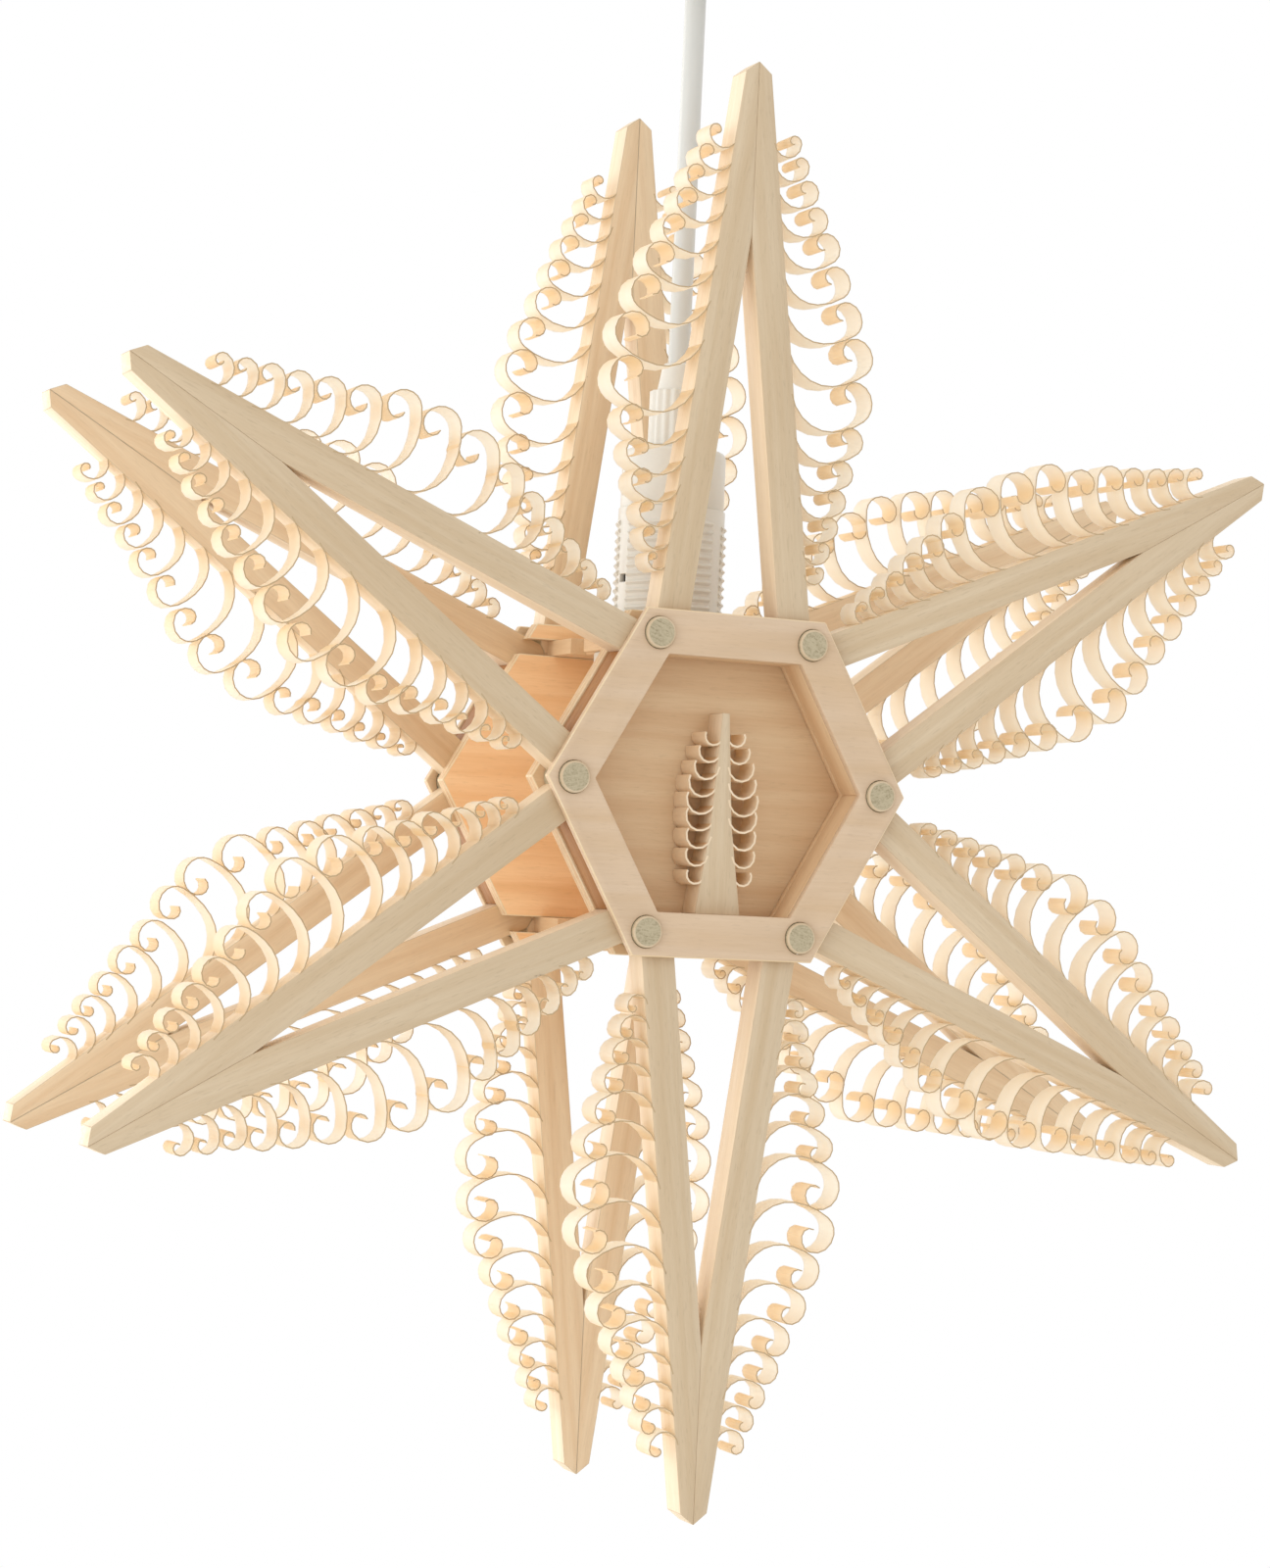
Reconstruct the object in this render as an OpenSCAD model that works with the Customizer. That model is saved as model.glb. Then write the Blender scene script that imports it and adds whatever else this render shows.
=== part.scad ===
// Light-up star decoration: two six-point stars of carved wooden bars with shaved curls.
// The stars stand back to back on two hexagonal plates, with a lamp holder and a small
// bulb between them, and hang by the lamp cord from a ceiling fitting.
// The origin is the ceiling, at the middle of the fitting. The star faces along -Y.

/* [Star] */
// Radius from the centre of a star to the apex of a point
star_r = 176; // [145:1:212]
// Width of a bar across its face
bar_w = 8.5; // [7:0.1:10.5]
// Depth of a bar from front to back
bar_d = 7.5; // [6:0.1:9]
// Half the width of a point at its shoulder
tip_half_w = 3.5; // [2.5:0.1:4.5]
// Height of the small roof that ends a point
tip_roof = 2.7; // [1:0.1:4]

/* [Curls] */
// Thickness of a shaved ribbon
curl_t = 0.5; // [0.35:0.05:0.6]
// Distance along a bar from its shoulder to the floor of the first curl
curl_first = 20; // [14:0.5:30]
// Reach of the first curl out from its bar
curl_reach = 7.4; // [6:0.1:9]
// Reach that a curl gains for each millimetre along the bar
curl_growth = 0.26; // [0.2:0.01:0.3]
// Smallest step from one curl to the next
curl_step = 3.2; // [1.8:0.1:4]
// Step that a curl gains for each millimetre of its reach
curl_step_growth = 0.39; // [0.38:0.01:0.5]
// Room kept between a curl and the middle line to the next point
curl_room = 1.2; // [0.8:0.1:3]
// Plain length of a bar between its last curl and the hub
curl_hub_plain = 8.5; // [6:0.5:20]

/* [Hub] */
// Radius of the hexagonal hub at its corners
hub_r = 47.8; // [42:0.1:57.5]
// Width of the face ring
ring_w = 10.7; // [9:0.1:12]
// Thickness of the face ring
ring_t = 2; // [1.5:0.1:3]
// Wall of the core between the recess and the bar roots
core_wall = 3.5; // [2.5:0.1:4]
// Step of the core in from the edge of the ring
core_inset = 0.6; // [0:0.1:1.5]
// Distance along a hub edge from its corner to the bar
corner_inset = 3.5; // [3:0.1:5]
// Thickness of the hexagonal plates
plate_t = 4; // [3:0.1:6]
// Thickness of the panel that a plate keeps behind its recess
panel_t = 2; // [1.5:0.1:2.5]
// Clear space between the two plates
plate_gap = 53; // [44:0.5:64]
// Diameter of the corner plugs
plug_d = 7.6; // [6:0.1:9]
// Distance of a plug from its corner
plug_inset = 6.8; // [6:0.1:8]
// Height of a plug over the face ring
plug_proud = 1; // [0.5:0.1:1.5]
// Chamfer round the end of a plug
plug_chamfer = 0.5; // [0.2:0.1:0.8]

/* [Half tree] */
// Height of the small carved tree in each recess
tree_h = 48.5; // [40:0.5:52]
// Width of the tree at its top
tree_top_w = 1.9; // [1.5:0.1:3]
// Width of the tree where it starts to flare
tree_knee_w = 5.6; // [4:0.1:8]
// Distance from the top of the tree to its flare
tree_knee = 27; // [20:0.5:32]
// Width of the tree at its foot
tree_foot_w = 12; // [9:0.1:15]
// Number of curls on each side of the tree
tree_curls = 9; // [6:1:10]
// Distance from the top of the tree to the floor of its first curl
tree_first = 7.8; // [6:0.1:9]
// Step from one curl of the tree to the next
tree_step = 4.2; // [3.7:0.1:4.6]
// Reach of the longest curls of the tree
tree_reach = 7; // [5:0.1:8]

/* [Boards] */
// Width of the two boards between the plates
board_w = 38.4; // [36:0.1:44]
// Thickness of the boards
board_t = 4; // [3:0.1:5]
// Distance from the flat of the hub to the outer face of a board
board_inset = 4; // [3:0.1:6]
// Half the width of the bridge that a plate keeps between its slots
tenon_start = 7; // [5:0.5:10]
// Length of a notch in the side of a board
notch_l = 8; // [6:0.5:9]
// Depth of a notch in the side of a board
notch_d = 4.5; // [3:0.1:5]
// Distance of a notch from the middle of the board
notch_y = 11.5; // [10:0.5:14]

/* [Lamp holder] */
// Diameter of the threaded sleeve
sleeve_d = 28; // [26:0.1:29]
// Pitch of the outer thread of the sleeve
sleeve_pitch = 2.1; // [1.8:0.1:3]
// Depth of the outer thread
sleeve_thread = 0.6; // [0.3:0.1:0.8]
// Bore of the sleeve
sleeve_bore = 24; // [23.4:0.1:25]
// Length of the sleeve over the upper board
sleeve_above = 32.6; // [28:0.1:40]
// Length of the sleeve under the upper board
sleeve_below = 13.4; // [10:0.1:16]
// Width of the smooth strips that interrupt the thread
strip_w = 5; // [3:0.1:7]
// Diameter of the ring nuts
nut_d = 36; // [34:0.1:38]
// Height of the ring nuts
nut_h = 4.5; // [3:0.1:5.5]
// Diameter of the cap
cap_d = 26; // [24.5:0.1:28]
// Height of the cap
cap_h = 15; // [12:0.1:18]
// Wall of the cap
cap_wall = 1.8; // [1.2:0.1:2.5]
// Depth of the cap's skirt in the sleeve
skirt_h = 8; // [5:0.5:10]
// Diameter of the cord grip
grip_d = 14; // [12:0.1:16]
// Height of the ribbed part of the cord grip
grip_rib_h = 15; // [12:0.5:18]
// Height of the tapered end of the cord grip
grip_taper_h = 7; // [5:0.5:10]
// Diameter of the cord grip where the cord leaves it
grip_end_d = 8; // [7:0.1:10]

/* [Bulb] */
// Largest diameter of the glass
bulb_d = 26; // [22:0.1:28]
// Length of the glass below its shell
bulb_l = 42; // [38:0.5:46]
// Wall of the glass
bulb_wall = 0.8; // [0.5:0.1:1.5]
// Diameter of the screw shell over its thread
shell_d = 13.9; // [13.7:0.1:14]
// Pitch of the screw shell
shell_pitch = 2.82; // [2.7:0.01:2.9]
// Length of the screw shell
shell_l = 17; // [15:0.5:18]
// Height of the insulator and tip over the shell
tip_l = 3; // [2:0.1:4]
// Wall of the screw contact in the holder
contact_wall = 0.7; // [0.4:0.1:1]

/* [Hanging] */
// Diameter of the lamp cord
cord_d = 5.4; // [4.5:0.1:6]
// Diameter of the ceiling cup
cup_d = 44; // [42:0.5:60]
// Height of the ceiling cup
cup_h = 36; // [35:0.5:38]
// Wall of the ceiling cup
cup_wall = 2; // [1.5:0.1:3]
// Radius of the hole under the cup, wide enough for the cord to swing
cup_hole_r = 11; // [10.5:0.1:13]
// Thickness of the plate on the ceiling
ceiling_t = 4; // [3.5:0.1:6]
// Distance between the two screw holes of the ceiling plate
screw_gap = 26; // [24:0.5:30]
// Diameter of the screw holes of the ceiling plate
screw_hole_d = 4.2; // [3.5:0.1:5]
// Radius of the wire of the hook
hook_wire = 1.5; // [1.2:0.1:1.8]
// Radius of the bend of the hook
hook_bend = 4.5; // [4:0.1:5]
// Straight length of the hook under its plate
hook_shank = 7.5; // [7:0.1:9]
// Radius of the wire of the link and of the hanger's eye
link_wire = 1.1; // [0.9:0.05:1.2]
// Radius of the link
link_r = 4.5; // [4.2:0.1:5]
// Radius of the hanger's eye
eye_r = 3.6; // [3.4:0.1:4]
// Diameter of the hanger's barrel
barrel_d = 9; // [8:0.1:9.5]
// Length of the hanger's barrel
barrel_l = 13; // [12:0.1:14]

/* [Hidden] */
$fn = 64;
wood_light = "#d9c9a6";
wood_pink = "#d7bd9d";
wood_orange = "#dcae7c";
ribbon_cream = "#efd9ae";
plug_grey = "#bfb391";
plastic_white = "#ecebe6";
metal_grey = "#b9bcc0";
brass_yellow = "#c8a552";
glass_white = "#f6f4ee";

// Clearances: glued wood, plugs in their holes, parts that slide, metal that turns, end faces
glue = 0.05;
plug_fit = 0.05;
slide_fit = 0.1;
turn_fit = 0.05;
body_gap = 0.3;

points = 6;
turn = 360 / points;
hub_flat = hub_r * cos(30);
recess_flat = hub_flat - ring_w;
recess_r = recess_flat / cos(30);

// A bar runs from its shoulder at the tip to the hub and leans out by a small angle.
// Along the bar u is the distance from the shoulder, and v is the distance out from its edge.
shoulder = [tip_half_w, star_r - tip_roof];
root_half = hub_r / 2 - corner_inset;
lean = atan((root_half - tip_half_w) / (shoulder.y - hub_flat));
root_y = recess_flat + core_wall;
hub_u = (shoulder.y - hub_flat) / cos(lean);
function on_bar(u, v) = shoulder + u * [sin(lean), -cos(lean)] + v * [cos(lean), sin(lean)];
function u_at(y, v) = (shoulder.y + v * sin(lean) - y) / cos(lean);
// Where the outer edge of a bar meets the corner line to the next point
corner_u = (shoulder.y - tan(60) * tip_half_w) / (cos(lean) + tan(60) * sin(lean));

// A curl is a ribbon along arcs, each with its turn and its radius as a share of the curl's size
curl_arcs = [[90, 0.48], [45, 0.62], [45, 0.235], [90, 0.16], [90, 0.13], [100, 0.10]];
tree_arcs = [[90, 0.48], [45, 0.5], [45, 0.36], [30, 0.3]];
function heading(arcs, k) = k == 0 ? 0 : heading(arcs, k - 1) + arcs[k - 1][0];
function rise(arcs, k = 0) = k == 3 ? 0
    : arcs[k][1] * (cos(heading(arcs, k)) - cos(heading(arcs, k + 1))) + rise(arcs, k + 1);
function set_back(arcs, k = 1) = k == 3 ? 0
    : arcs[k][1] * (sin(heading(arcs, k)) - sin(heading(arcs, k + 1))) + set_back(arcs, k + 1);
// Depth of the root of a curl in its bar, and the turn of one straight facet of a ribbon
curl_bite = 0.2;
curl_facet = 30;
// Places along a curl, each with its heading, which starts along the bar and turns outwards
function arc_places(from, h, r, sweep) = let (steps = ceil(sweep / curl_facet))
    [for (k = [1 : steps]) let (a = h + sweep * k / steps)
        [from + r * [sin(a) - sin(h), cos(h) - cos(a)], a]];
function curl_places(arcs, size, k = 0, from = [0, 0], h = 0) = k == len(arcs) ? []
    : let (places = arc_places(from, h, arcs[k][1] * size, arcs[k][0]), last = places[len(places) - 1])
        concat(places, curl_places(arcs, size, k + 1, last[0], last[1]));

// The reach grows along the bar until the middle line to the next point limits it
side_slope = tan(30 - lean);
crest_back = set_back(curl_arcs) / rise(curl_arcs);
function reach(b) = min(curl_reach + curl_growth * (b - curl_first),
                        ((corner_u - b) * side_slope - curl_room) / (1 - crest_back * side_slope));
function floors(b) = b > hub_u - curl_hub_plain ? []
    : concat([b], floors(b + curl_step + curl_step_growth * reach(b)));
curl_floors = floors(curl_first);

// Layers of one half, from the middle plane out to the face
plate_y = plate_gap / 2;
floor_y = plate_y + panel_t;
core_y = plate_y + plate_t;
ring_y = core_y + bar_d;
plug_l = bar_d + ring_t + plug_proud;
plug_r = hub_r - plug_inset;

// Half tree, measured from the middle of the hub
tree_top = tree_h - recess_flat;
function tree_half(d) = d < tree_knee
    ? (tree_top_w + (tree_knee_w - tree_top_w) * d / tree_knee) / 2
    : (tree_knee_w + (tree_foot_w - tree_knee_w) * (d - tree_knee) / (tree_h - tree_knee)) / 2;
function tree_lean(d) = atan(tree_half(d + 0.5) - tree_half(d - 0.5));
function tree_curl(i) = tree_reach * (0.5 + 0.5 * sin(180 * (i + 0.5) / tree_curls));

// Boards: the upper one carries the lamp holder
board_top = hub_flat - board_inset;
board_z = board_top - board_t / 2;

// Lamp holder, measured from the centre of the star
sleeve_top = board_top + sleeve_above;
sleeve_end = board_top - board_t - sleeve_below;
sleeve_root_r = sleeve_d / 2 - sleeve_thread;
sleeve_turns = floor((sleeve_top - sleeve_end) / sleeve_pitch);
strip_turn = [-176, -56, 64];
nut_grips = 16;
nut_grip_r = 1.2;
lip_depth = 8;
lip_z = sleeve_end + lip_depth;
lip_t = 2;
lip_in = 1.8;
window = [4, 3, 2];
window_drop = 18;
strip_cut = 0.2;
cap_top = sleeve_top + cap_h;
cap_hole_r = 3.4;
cap_edge = 1.5;
grip_ribs = 18;
grip_rib_r = 0.6;
grip_neck_d = grip_d - 3 * grip_rib_r;
grip_top = cap_top + grip_rib_h + grip_taper_h;

// Bulb and contacts, measured from the centre of the star: the shell hides in the sleeve
shell_low = lip_z;
shell_top = shell_low + shell_l;
tip_top = shell_top + tip_l;
shell_thread = 0.75;
shell_root_r = shell_d / 2 - shell_thread;
shell_rim = 2;
shell_turns = 5;
contact_r = shell_d / 2 + slide_fit;
insert_r = sleeve_bore / 2 - slide_fit;
insert_low = lip_z + lip_t;
roof_gap = 2;
roof_t = 6;
insert_roof = tip_top + roof_gap;
insert_top = insert_roof + roof_t;
contact_past = 1;
contact_low = insert_low + contact_past;
contact_top = shell_top + contact_past;
centre_r = 3;
solder_t = 0.8;
solder_r = 2.5;
insulator_step = 1;
rivet_r = 1;
lead_r = 1.2;
lead_x = 1.6;

// Ceiling fitting, measured down from the ceiling
hook_z = -ceiling_t - hook_shank;
hook_low = hook_z - hook_bend;
hook_tip = 3;
link_top = hook_low + hook_wire + link_wire + turn_fit;
link_z = link_top - link_r;
link_low = link_z - link_r;
eye_top = link_low + 2 * link_wire + turn_fit;
eye_z = eye_top - eye_r;
barrel_top = eye_z - eye_r + link_wire / 2;
barrel_low = barrel_top - barrel_l;
cup_in_r = cup_d / 2 - cup_wall;
ceiling_r = cup_in_r - slide_fit;
cup_screw_head_r = ceiling_t / 2 - slide_fit;
cup_screw_r = cup_screw_head_r / 2;
cup_screw_head_t = 1.6;
cup_screw_l = 5;
block = [8, 12, 8];
block_x = 13;
block_hole_r = 1.5;

// The cord hangs plumb from the hanger to the top of the cord grip
cord_route = [for (z = [-138, -130, -122, -114, -106, -98, -90, -82, -74, -66, -58, -50, -44, -38, -32])
    [0, 0, z]];
cord_sides = 12;
cord_top = cord_route[len(cord_route) - 1].z;
star_z = cord_route[0].z - grip_top;

function two_digits(n) = n < 10 ? str("0", n) : str(n);
bar_names = [for (side = ["front", "rear"]) for (n = [1 : 2 * points]) str(side, "_bar_", two_digits(n))];
half_names = [for (side = ["front", "rear"])
    for (piece = ["ring", "core", "plate", "plugs", "half_tree"]) str(side, "_", piece)];

// A flat outline in the star's plane, given a thickness from a distance in front of the middle plane
module layer(from, thick) {
    translate([0, -from, star_z])
        rotate([90, 0, 0])
            linear_extrude(thick) children();
}

// The front half as drawn, or the rear half as its mirror image
module half(side) {
    mirror([0, side == "rear" ? 1 : 0, 0]) children();
}

// Outline of a curl: out along one side of the ribbon and back along the other
module curl(arcs, size) {
    places = concat([[[0, 0], 0]], curl_places(arcs, size));
    last = len(places) - 1;
    polygon(concat([for (p = places) p[0] + curl_t / 2 * [sin(p[1]), -cos(p[1])]],
                   [for (i = [0 : last]) let (p = places[last - i])
                       p[0] - curl_t / 2 * [sin(p[1]), -cos(p[1])]]));
}

// A circle for each plug, in the star's plane
module plug_circles(r) {
    for (k = [0 : points - 1])
        rotate(turn * k) translate([plug_r, 0]) circle(r);
}

// Sector of one half of a point, between its seam and the corner line to the next point
module half_point_sector() {
    far = 2 * star_r;
    polygon([[0, 0], [far / tan(60), far], [0, far]]);
}

// Outline of the right-hand bar of the upper point, with its curls
module bar_outline() {
    difference() {
        union() {
            intersection() {
                polygon([[0, star_r], on_bar(0, -bar_w), on_bar(u_at(root_y, -bar_w), -bar_w),
                         on_bar(u_at(root_y, 0), 0), shoulder]);
                half_point_sector();
            }
            translate(shoulder)
                rotate(lean - 90)
                    for (b = curl_floors) {
                        size = reach(b) / rise(curl_arcs);
                        translate([b - curl_arcs[0][1] * size, -curl_bite - curl_t / 2]) curl(curl_arcs, size);
                    }
        }
        plug_circles(plug_d / 2 + plug_fit);
    }
}

// One bar of one half: odd numbers lie to the right of their point's seam
module bar(side, n) {
    left = (n - 1) % 2;
    point = floor((n - 1) / 2);
    color(wood_light)
        half(side)
            mirror([left, 0, 0])
                layer(core_y, bar_d)
                    rotate((2 * left - 1) * turn * point) bar_outline();
}

// Pocket in the core for the root of the right-hand bar of the upper point
module root_pocket() {
    low = root_y - glue;
    far = 2 * hub_r;
    past_corner = 1;
    polygon([on_bar(u_at(low, -bar_w - glue), -bar_w - glue), [low / tan(60) + past_corner, low],
             [far / tan(60) + past_corner, far], on_bar(u_at(far, -bar_w - glue), -bar_w - glue)]);
}

module core_outline() {
    difference() {
        circle(hub_r - core_inset, $fn = points);
        circle(recess_r, $fn = points);
        for (k = [0 : points - 1], m = [0, 1])
            rotate(-turn * k) mirror([m, 0]) root_pocket();
        plug_circles(plug_d / 2 + plug_fit);
    }
}

module ring(side) {
    color(wood_pink)
        half(side)
            layer(ring_y, ring_t)
                difference() {
                    circle(hub_r, $fn = points);
                    circle(recess_r, $fn = points);
                    plug_circles(plug_d / 2 + plug_fit);
                }
}

module core(side) {
    color(wood_orange)
        half(side)
            layer(core_y, bar_d) core_outline();
}

// The slots for the tenons of the boards are open at the slanted edges of the plate,
// and the recess goes on into it as far as the panel
module plate(side) {
    slot = board_t + 2 * glue;
    color(wood_orange)
        half(side)
            difference() {
                layer(plate_y, plate_t)
                    difference() {
                        circle(hub_r, $fn = points);
                        for (x = [-1, 1] * (tenon_start + hub_r / 2), z = [-board_z, board_z])
                            translate([x, z]) square([hub_r, slot], center = true);
                    }
                layer(floor_y, plate_t) circle(recess_r, $fn = points);
            }
}

// Plugs stand on the plate and lock the roots of the bars in the core
module plugs(side) {
    color(plug_grey)
        half(side)
            for (k = [0 : points - 1])
                translate([plug_r * cos(turn * k), -core_y, star_z + plug_r * sin(turn * k)])
                    rotate([90, 0, 0]) {
                        cylinder(d = plug_d, h = plug_l - plug_chamfer);
                        translate([0, 0, plug_l - plug_chamfer])
                            cylinder(d1 = plug_d, d2 = plug_d - 2 * plug_chamfer, h = plug_chamfer);
                    }
}

// Right-hand side of the small tree: half of a flared post, with a bowl for each curl
module tree_outline() {
    polygon([[-curl_bite, 0], [-curl_bite, -tree_h], [tree_half(tree_h), -tree_h],
             [tree_half(tree_knee), -tree_knee], [tree_half(0), 0]]);
    for (i = [0 : tree_curls - 1]) {
        d = tree_first + tree_step * i;
        size = tree_curl(i) / rise(tree_arcs);
        translate([tree_half(d), -d])
            rotate(tree_lean(d) - 90)
                translate([-tree_arcs[0][1] * size, -curl_bite - curl_t / 2]) curl(tree_arcs, size);
    }
}

// Small carved tree on the panel, standing on the lower wall of the recess
module half_tree(side) {
    color(ribbon_cream)
        half(side)
            for (m = [0, 1])
                mirror([m, 0, 0])
                    layer(floor_y, bar_d)
                        translate([0, tree_top]) tree_outline();
}

// Board between the plates, as an outline seen from above
module board_outline() {
    tenon_w = board_w / 2 - tenon_start - glue;
    difference() {
        square([board_w, plate_gap], center = true);
        for (x = [-board_w / 2, board_w / 2], y = [-notch_y, notch_y])
            translate([x, y]) square([2 * notch_d, notch_l], center = true);
    }
    for (x = [-1, 1] * (board_w - tenon_w) / 2, y = [-1, 1] * plate_y)
        translate([x, y]) square([tenon_w, 2 * plate_t], center = true);
}

module top_board() {
    color(wood_orange)
        translate([0, 0, star_z + board_top - board_t])
            linear_extrude(board_t)
                difference() {
                    board_outline();
                    circle(d = sleeve_d + 2 * slide_fit);
                }
}

module bottom_board() {
    color(wood_orange)
        translate([0, 0, star_z - board_top])
            linear_extrude(board_t) board_outline();
}

// Threaded sleeve with smooth strips, a lip under the insert and a small latch window
module socket_sleeve() {
    zig = [for (i = [0 : sleeve_turns - 1]) for (k = [0, 1])
        [sleeve_root_r + k * sleeve_thread, sleeve_end + (i + k / 2) * sleeve_pitch]];
    color(plastic_white)
        translate([0, 0, star_z])
            difference() {
                rotate_extrude()
                    polygon(concat([[sleeve_bore / 2 - lip_in, lip_z], [sleeve_bore / 2, lip_z],
                                    [sleeve_bore / 2, sleeve_end]],
                                   zig,
                                   [[sleeve_root_r, sleeve_end + sleeve_turns * sleeve_pitch],
                                    [sleeve_root_r, sleeve_top], [sleeve_bore / 2, sleeve_top],
                                    [sleeve_bore / 2, insert_low], [sleeve_bore / 2 - lip_in, insert_low]]));
                for (a = strip_turn)
                    rotate(a)
                        translate([sleeve_root_r - strip_cut, -strip_w / 2, sleeve_end - 1])
                            cube([sleeve_d, strip_w, sleeve_top - sleeve_end + 2]);
                rotate(strip_turn[0])
                    translate([sleeve_bore / 2 - 1, -window.y / 2, sleeve_top - window_drop - window.z / 2])
                        cube(window);
            }
}

// Cap over the sleeve, with a skirt inside it
module socket_cap() {
    color(plastic_white)
        translate([0, 0, star_z])
            rotate_extrude()
                polygon([[insert_r - cap_wall, sleeve_top - skirt_h], [insert_r, sleeve_top - skirt_h],
                         [insert_r, sleeve_top], [cap_d / 2, sleeve_top],
                         [cap_d / 2, cap_top - cap_edge], [cap_d / 2 - cap_edge, cap_top],
                         [cap_hole_r, cap_top], [cap_hole_r, cap_top - cap_wall],
                         [insert_r - cap_wall, cap_top - cap_wall]]);
}

// Ribbed grip on the cap that tapers to the cord
module cord_grip() {
    color(plastic_white)
        translate([0, 0, star_z + cap_top]) {
            difference() {
                cylinder(d = grip_d, h = grip_rib_h);
                for (k = [0 : grip_ribs - 1])
                    rotate(360 * k / grip_ribs)
                        translate([grip_d / 2, 0, 1]) cylinder(r = grip_rib_r, h = grip_rib_h);
            }
            translate([0, 0, grip_rib_h])
                cylinder(d1 = grip_neck_d, d2 = grip_end_d, h = grip_taper_h);
        }
}

// Ring nut on the sleeve, with finger grips round its rim
module ring_nut(low) {
    color(plastic_white)
        translate([0, 0, star_z + low])
            difference() {
                cylinder(d = nut_d, h = nut_h);
                translate([0, 0, -1]) cylinder(d = sleeve_d + 2 * slide_fit, h = nut_h + 2);
                for (k = [0 : nut_grips - 1])
                    rotate(360 * k / nut_grips)
                        translate([nut_d / 2, 0, -1]) cylinder(r = nut_grip_r, h = nut_h + 2);
            }
}

module upper_ring_nut() {
    ring_nut(board_top);
}

module lower_ring_nut() {
    ring_nut(board_top - board_t - nut_h);
}

// Inner body of the holder, which carries the contacts
module contact_insert() {
    color(plastic_white)
        translate([0, 0, star_z])
            difference() {
                translate([0, 0, insert_low]) cylinder(r = insert_r, h = insert_top - insert_low);
                translate([0, 0, insert_low - 1])
                    cylinder(r = contact_r + contact_wall + glue, h = insert_roof - insert_low + 1);
                cylinder(r = rivet_r + glue, h = insert_top + 1);
            }
}

// Screw contact: a plain sleeve round the shell of the bulb
module shell_contact() {
    color(brass_yellow)
        translate([0, 0, star_z + contact_low])
            difference() {
                cylinder(r = contact_r + contact_wall, h = contact_top - contact_low);
                translate([0, 0, -1]) cylinder(r = contact_r, h = contact_top - contact_low + 2);
            }
}

// Centre contact: a disc over the tip of the bulb with a rivet through the insert
module centre_contact() {
    color(brass_yellow)
        translate([0, 0, star_z + tip_top + body_gap]) {
            cylinder(r = centre_r, h = insert_roof - tip_top - body_gap);
            cylinder(r = rivet_r, h = insert_top - tip_top - body_gap);
        }
}

// Two leads from the cord grip down to the contact insert
module inner_leads() {
    color(metal_grey)
        for (x = [-lead_x, lead_x])
            translate([x, 0, star_z + insert_top]) cylinder(r = lead_r, h = cap_top - insert_top);
}

module bulb_tip() {
    color(metal_grey)
        translate([0, 0, star_z + shell_top + turn_fit]) {
            cylinder(r1 = shell_root_r - insulator_step, r2 = centre_r, h = tip_l - solder_t - turn_fit);
            translate([0, 0, tip_l - solder_t - turn_fit]) cylinder(r = solder_r, h = solder_t);
        }
}

// Screw shell, with its thread as a row of rings
module bulb_shell() {
    ridge = [for (i = [0 : shell_turns - 1]) for (k = [0, 1])
        [shell_root_r + k * shell_thread, shell_low + shell_rim + (i + k / 2) * shell_pitch]];
    color(metal_grey)
        translate([0, 0, star_z])
            rotate_extrude()
                polygon(concat([[0, shell_low], [shell_root_r, shell_low]], ridge,
                               [[shell_root_r, shell_low + shell_rim + shell_turns * shell_pitch],
                                [shell_root_r - shell_thread, shell_top], [0, shell_top]]));
}

// Outside of the glass, or its inside where it is drawn in by a wall: a ball and a neck that touches it
module bulb_shape(wall) {
    ball_r = bulb_d / 2 - wall;
    ball_z = shell_low - bulb_l + bulb_d / 2;
    neck_r = shell_root_r - shell_thread - wall;
    run = shell_low - ball_z;
    slant = atan2(run, neck_r) - acos(ball_r / norm([neck_r, run]));
    touch = [ball_r * cos(slant), ball_z + ball_r * sin(slant)];
    translate([0, 0, ball_z]) sphere(ball_r);
    translate([0, 0, touch.y]) cylinder(r1 = touch.x, r2 = neck_r, h = shell_low - touch.y);
}

module bulb_glass() {
    color(glass_white)
        translate([0, 0, star_z])
            difference() {
                bulb_shape(0);
                bulb_shape(bulb_wall);
            }
}

module lamp_cord() {
    rings = len(cord_route);
    corners = [for (p = cord_route) for (k = [0 : cord_sides - 1])
        p + cord_d / 2 * [cos(360 * k / cord_sides), sin(360 * k / cord_sides), 0]];
    ends = [cord_route[0], cord_route[rings - 1]];
    last = (rings - 1) * cord_sides;
    function at(i, k) = i * cord_sides + k % cord_sides;
    sides = [for (i = [0 : rings - 2]) for (k = [0 : cord_sides - 1]) for (half = [0, 1])
        half == 0 ? [at(i, k), at(i + 1, k), at(i + 1, k + 1)] : [at(i, k), at(i + 1, k + 1), at(i, k + 1)]];
    caps = [for (k = [0 : cord_sides - 1]) for (half = [0, 1])
        half == 0 ? [rings * cord_sides, at(0, k), at(0, k + 1)]
                  : [rings * cord_sides + 1, last + (k + 1) % cord_sides, last + k]];
    color(plastic_white)
        polyhedron(concat(corners, ends), concat(sides, caps));
}

// Disc on the ceiling with two screw holes, and a hole in its rim for each screw of the cup
module ceiling_plate() {
    color(plastic_white)
        difference() {
            translate([0, 0, -ceiling_t]) cylinder(r = ceiling_r, h = ceiling_t);
            for (y = [-screw_gap / 2, screw_gap / 2])
                translate([0, y, -ceiling_t - 1]) cylinder(d = screw_hole_d, h = ceiling_t + 2);
            for (m = [0, 1])
                mirror([m, 0, 0])
                    translate([cup_d / 2 - cup_screw_l, 0, -ceiling_t / 2])
                        rotate([0, 90, 0]) cylinder(r = cup_screw_r + plug_fit, h = cup_screw_l + 1);
        }
}

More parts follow.
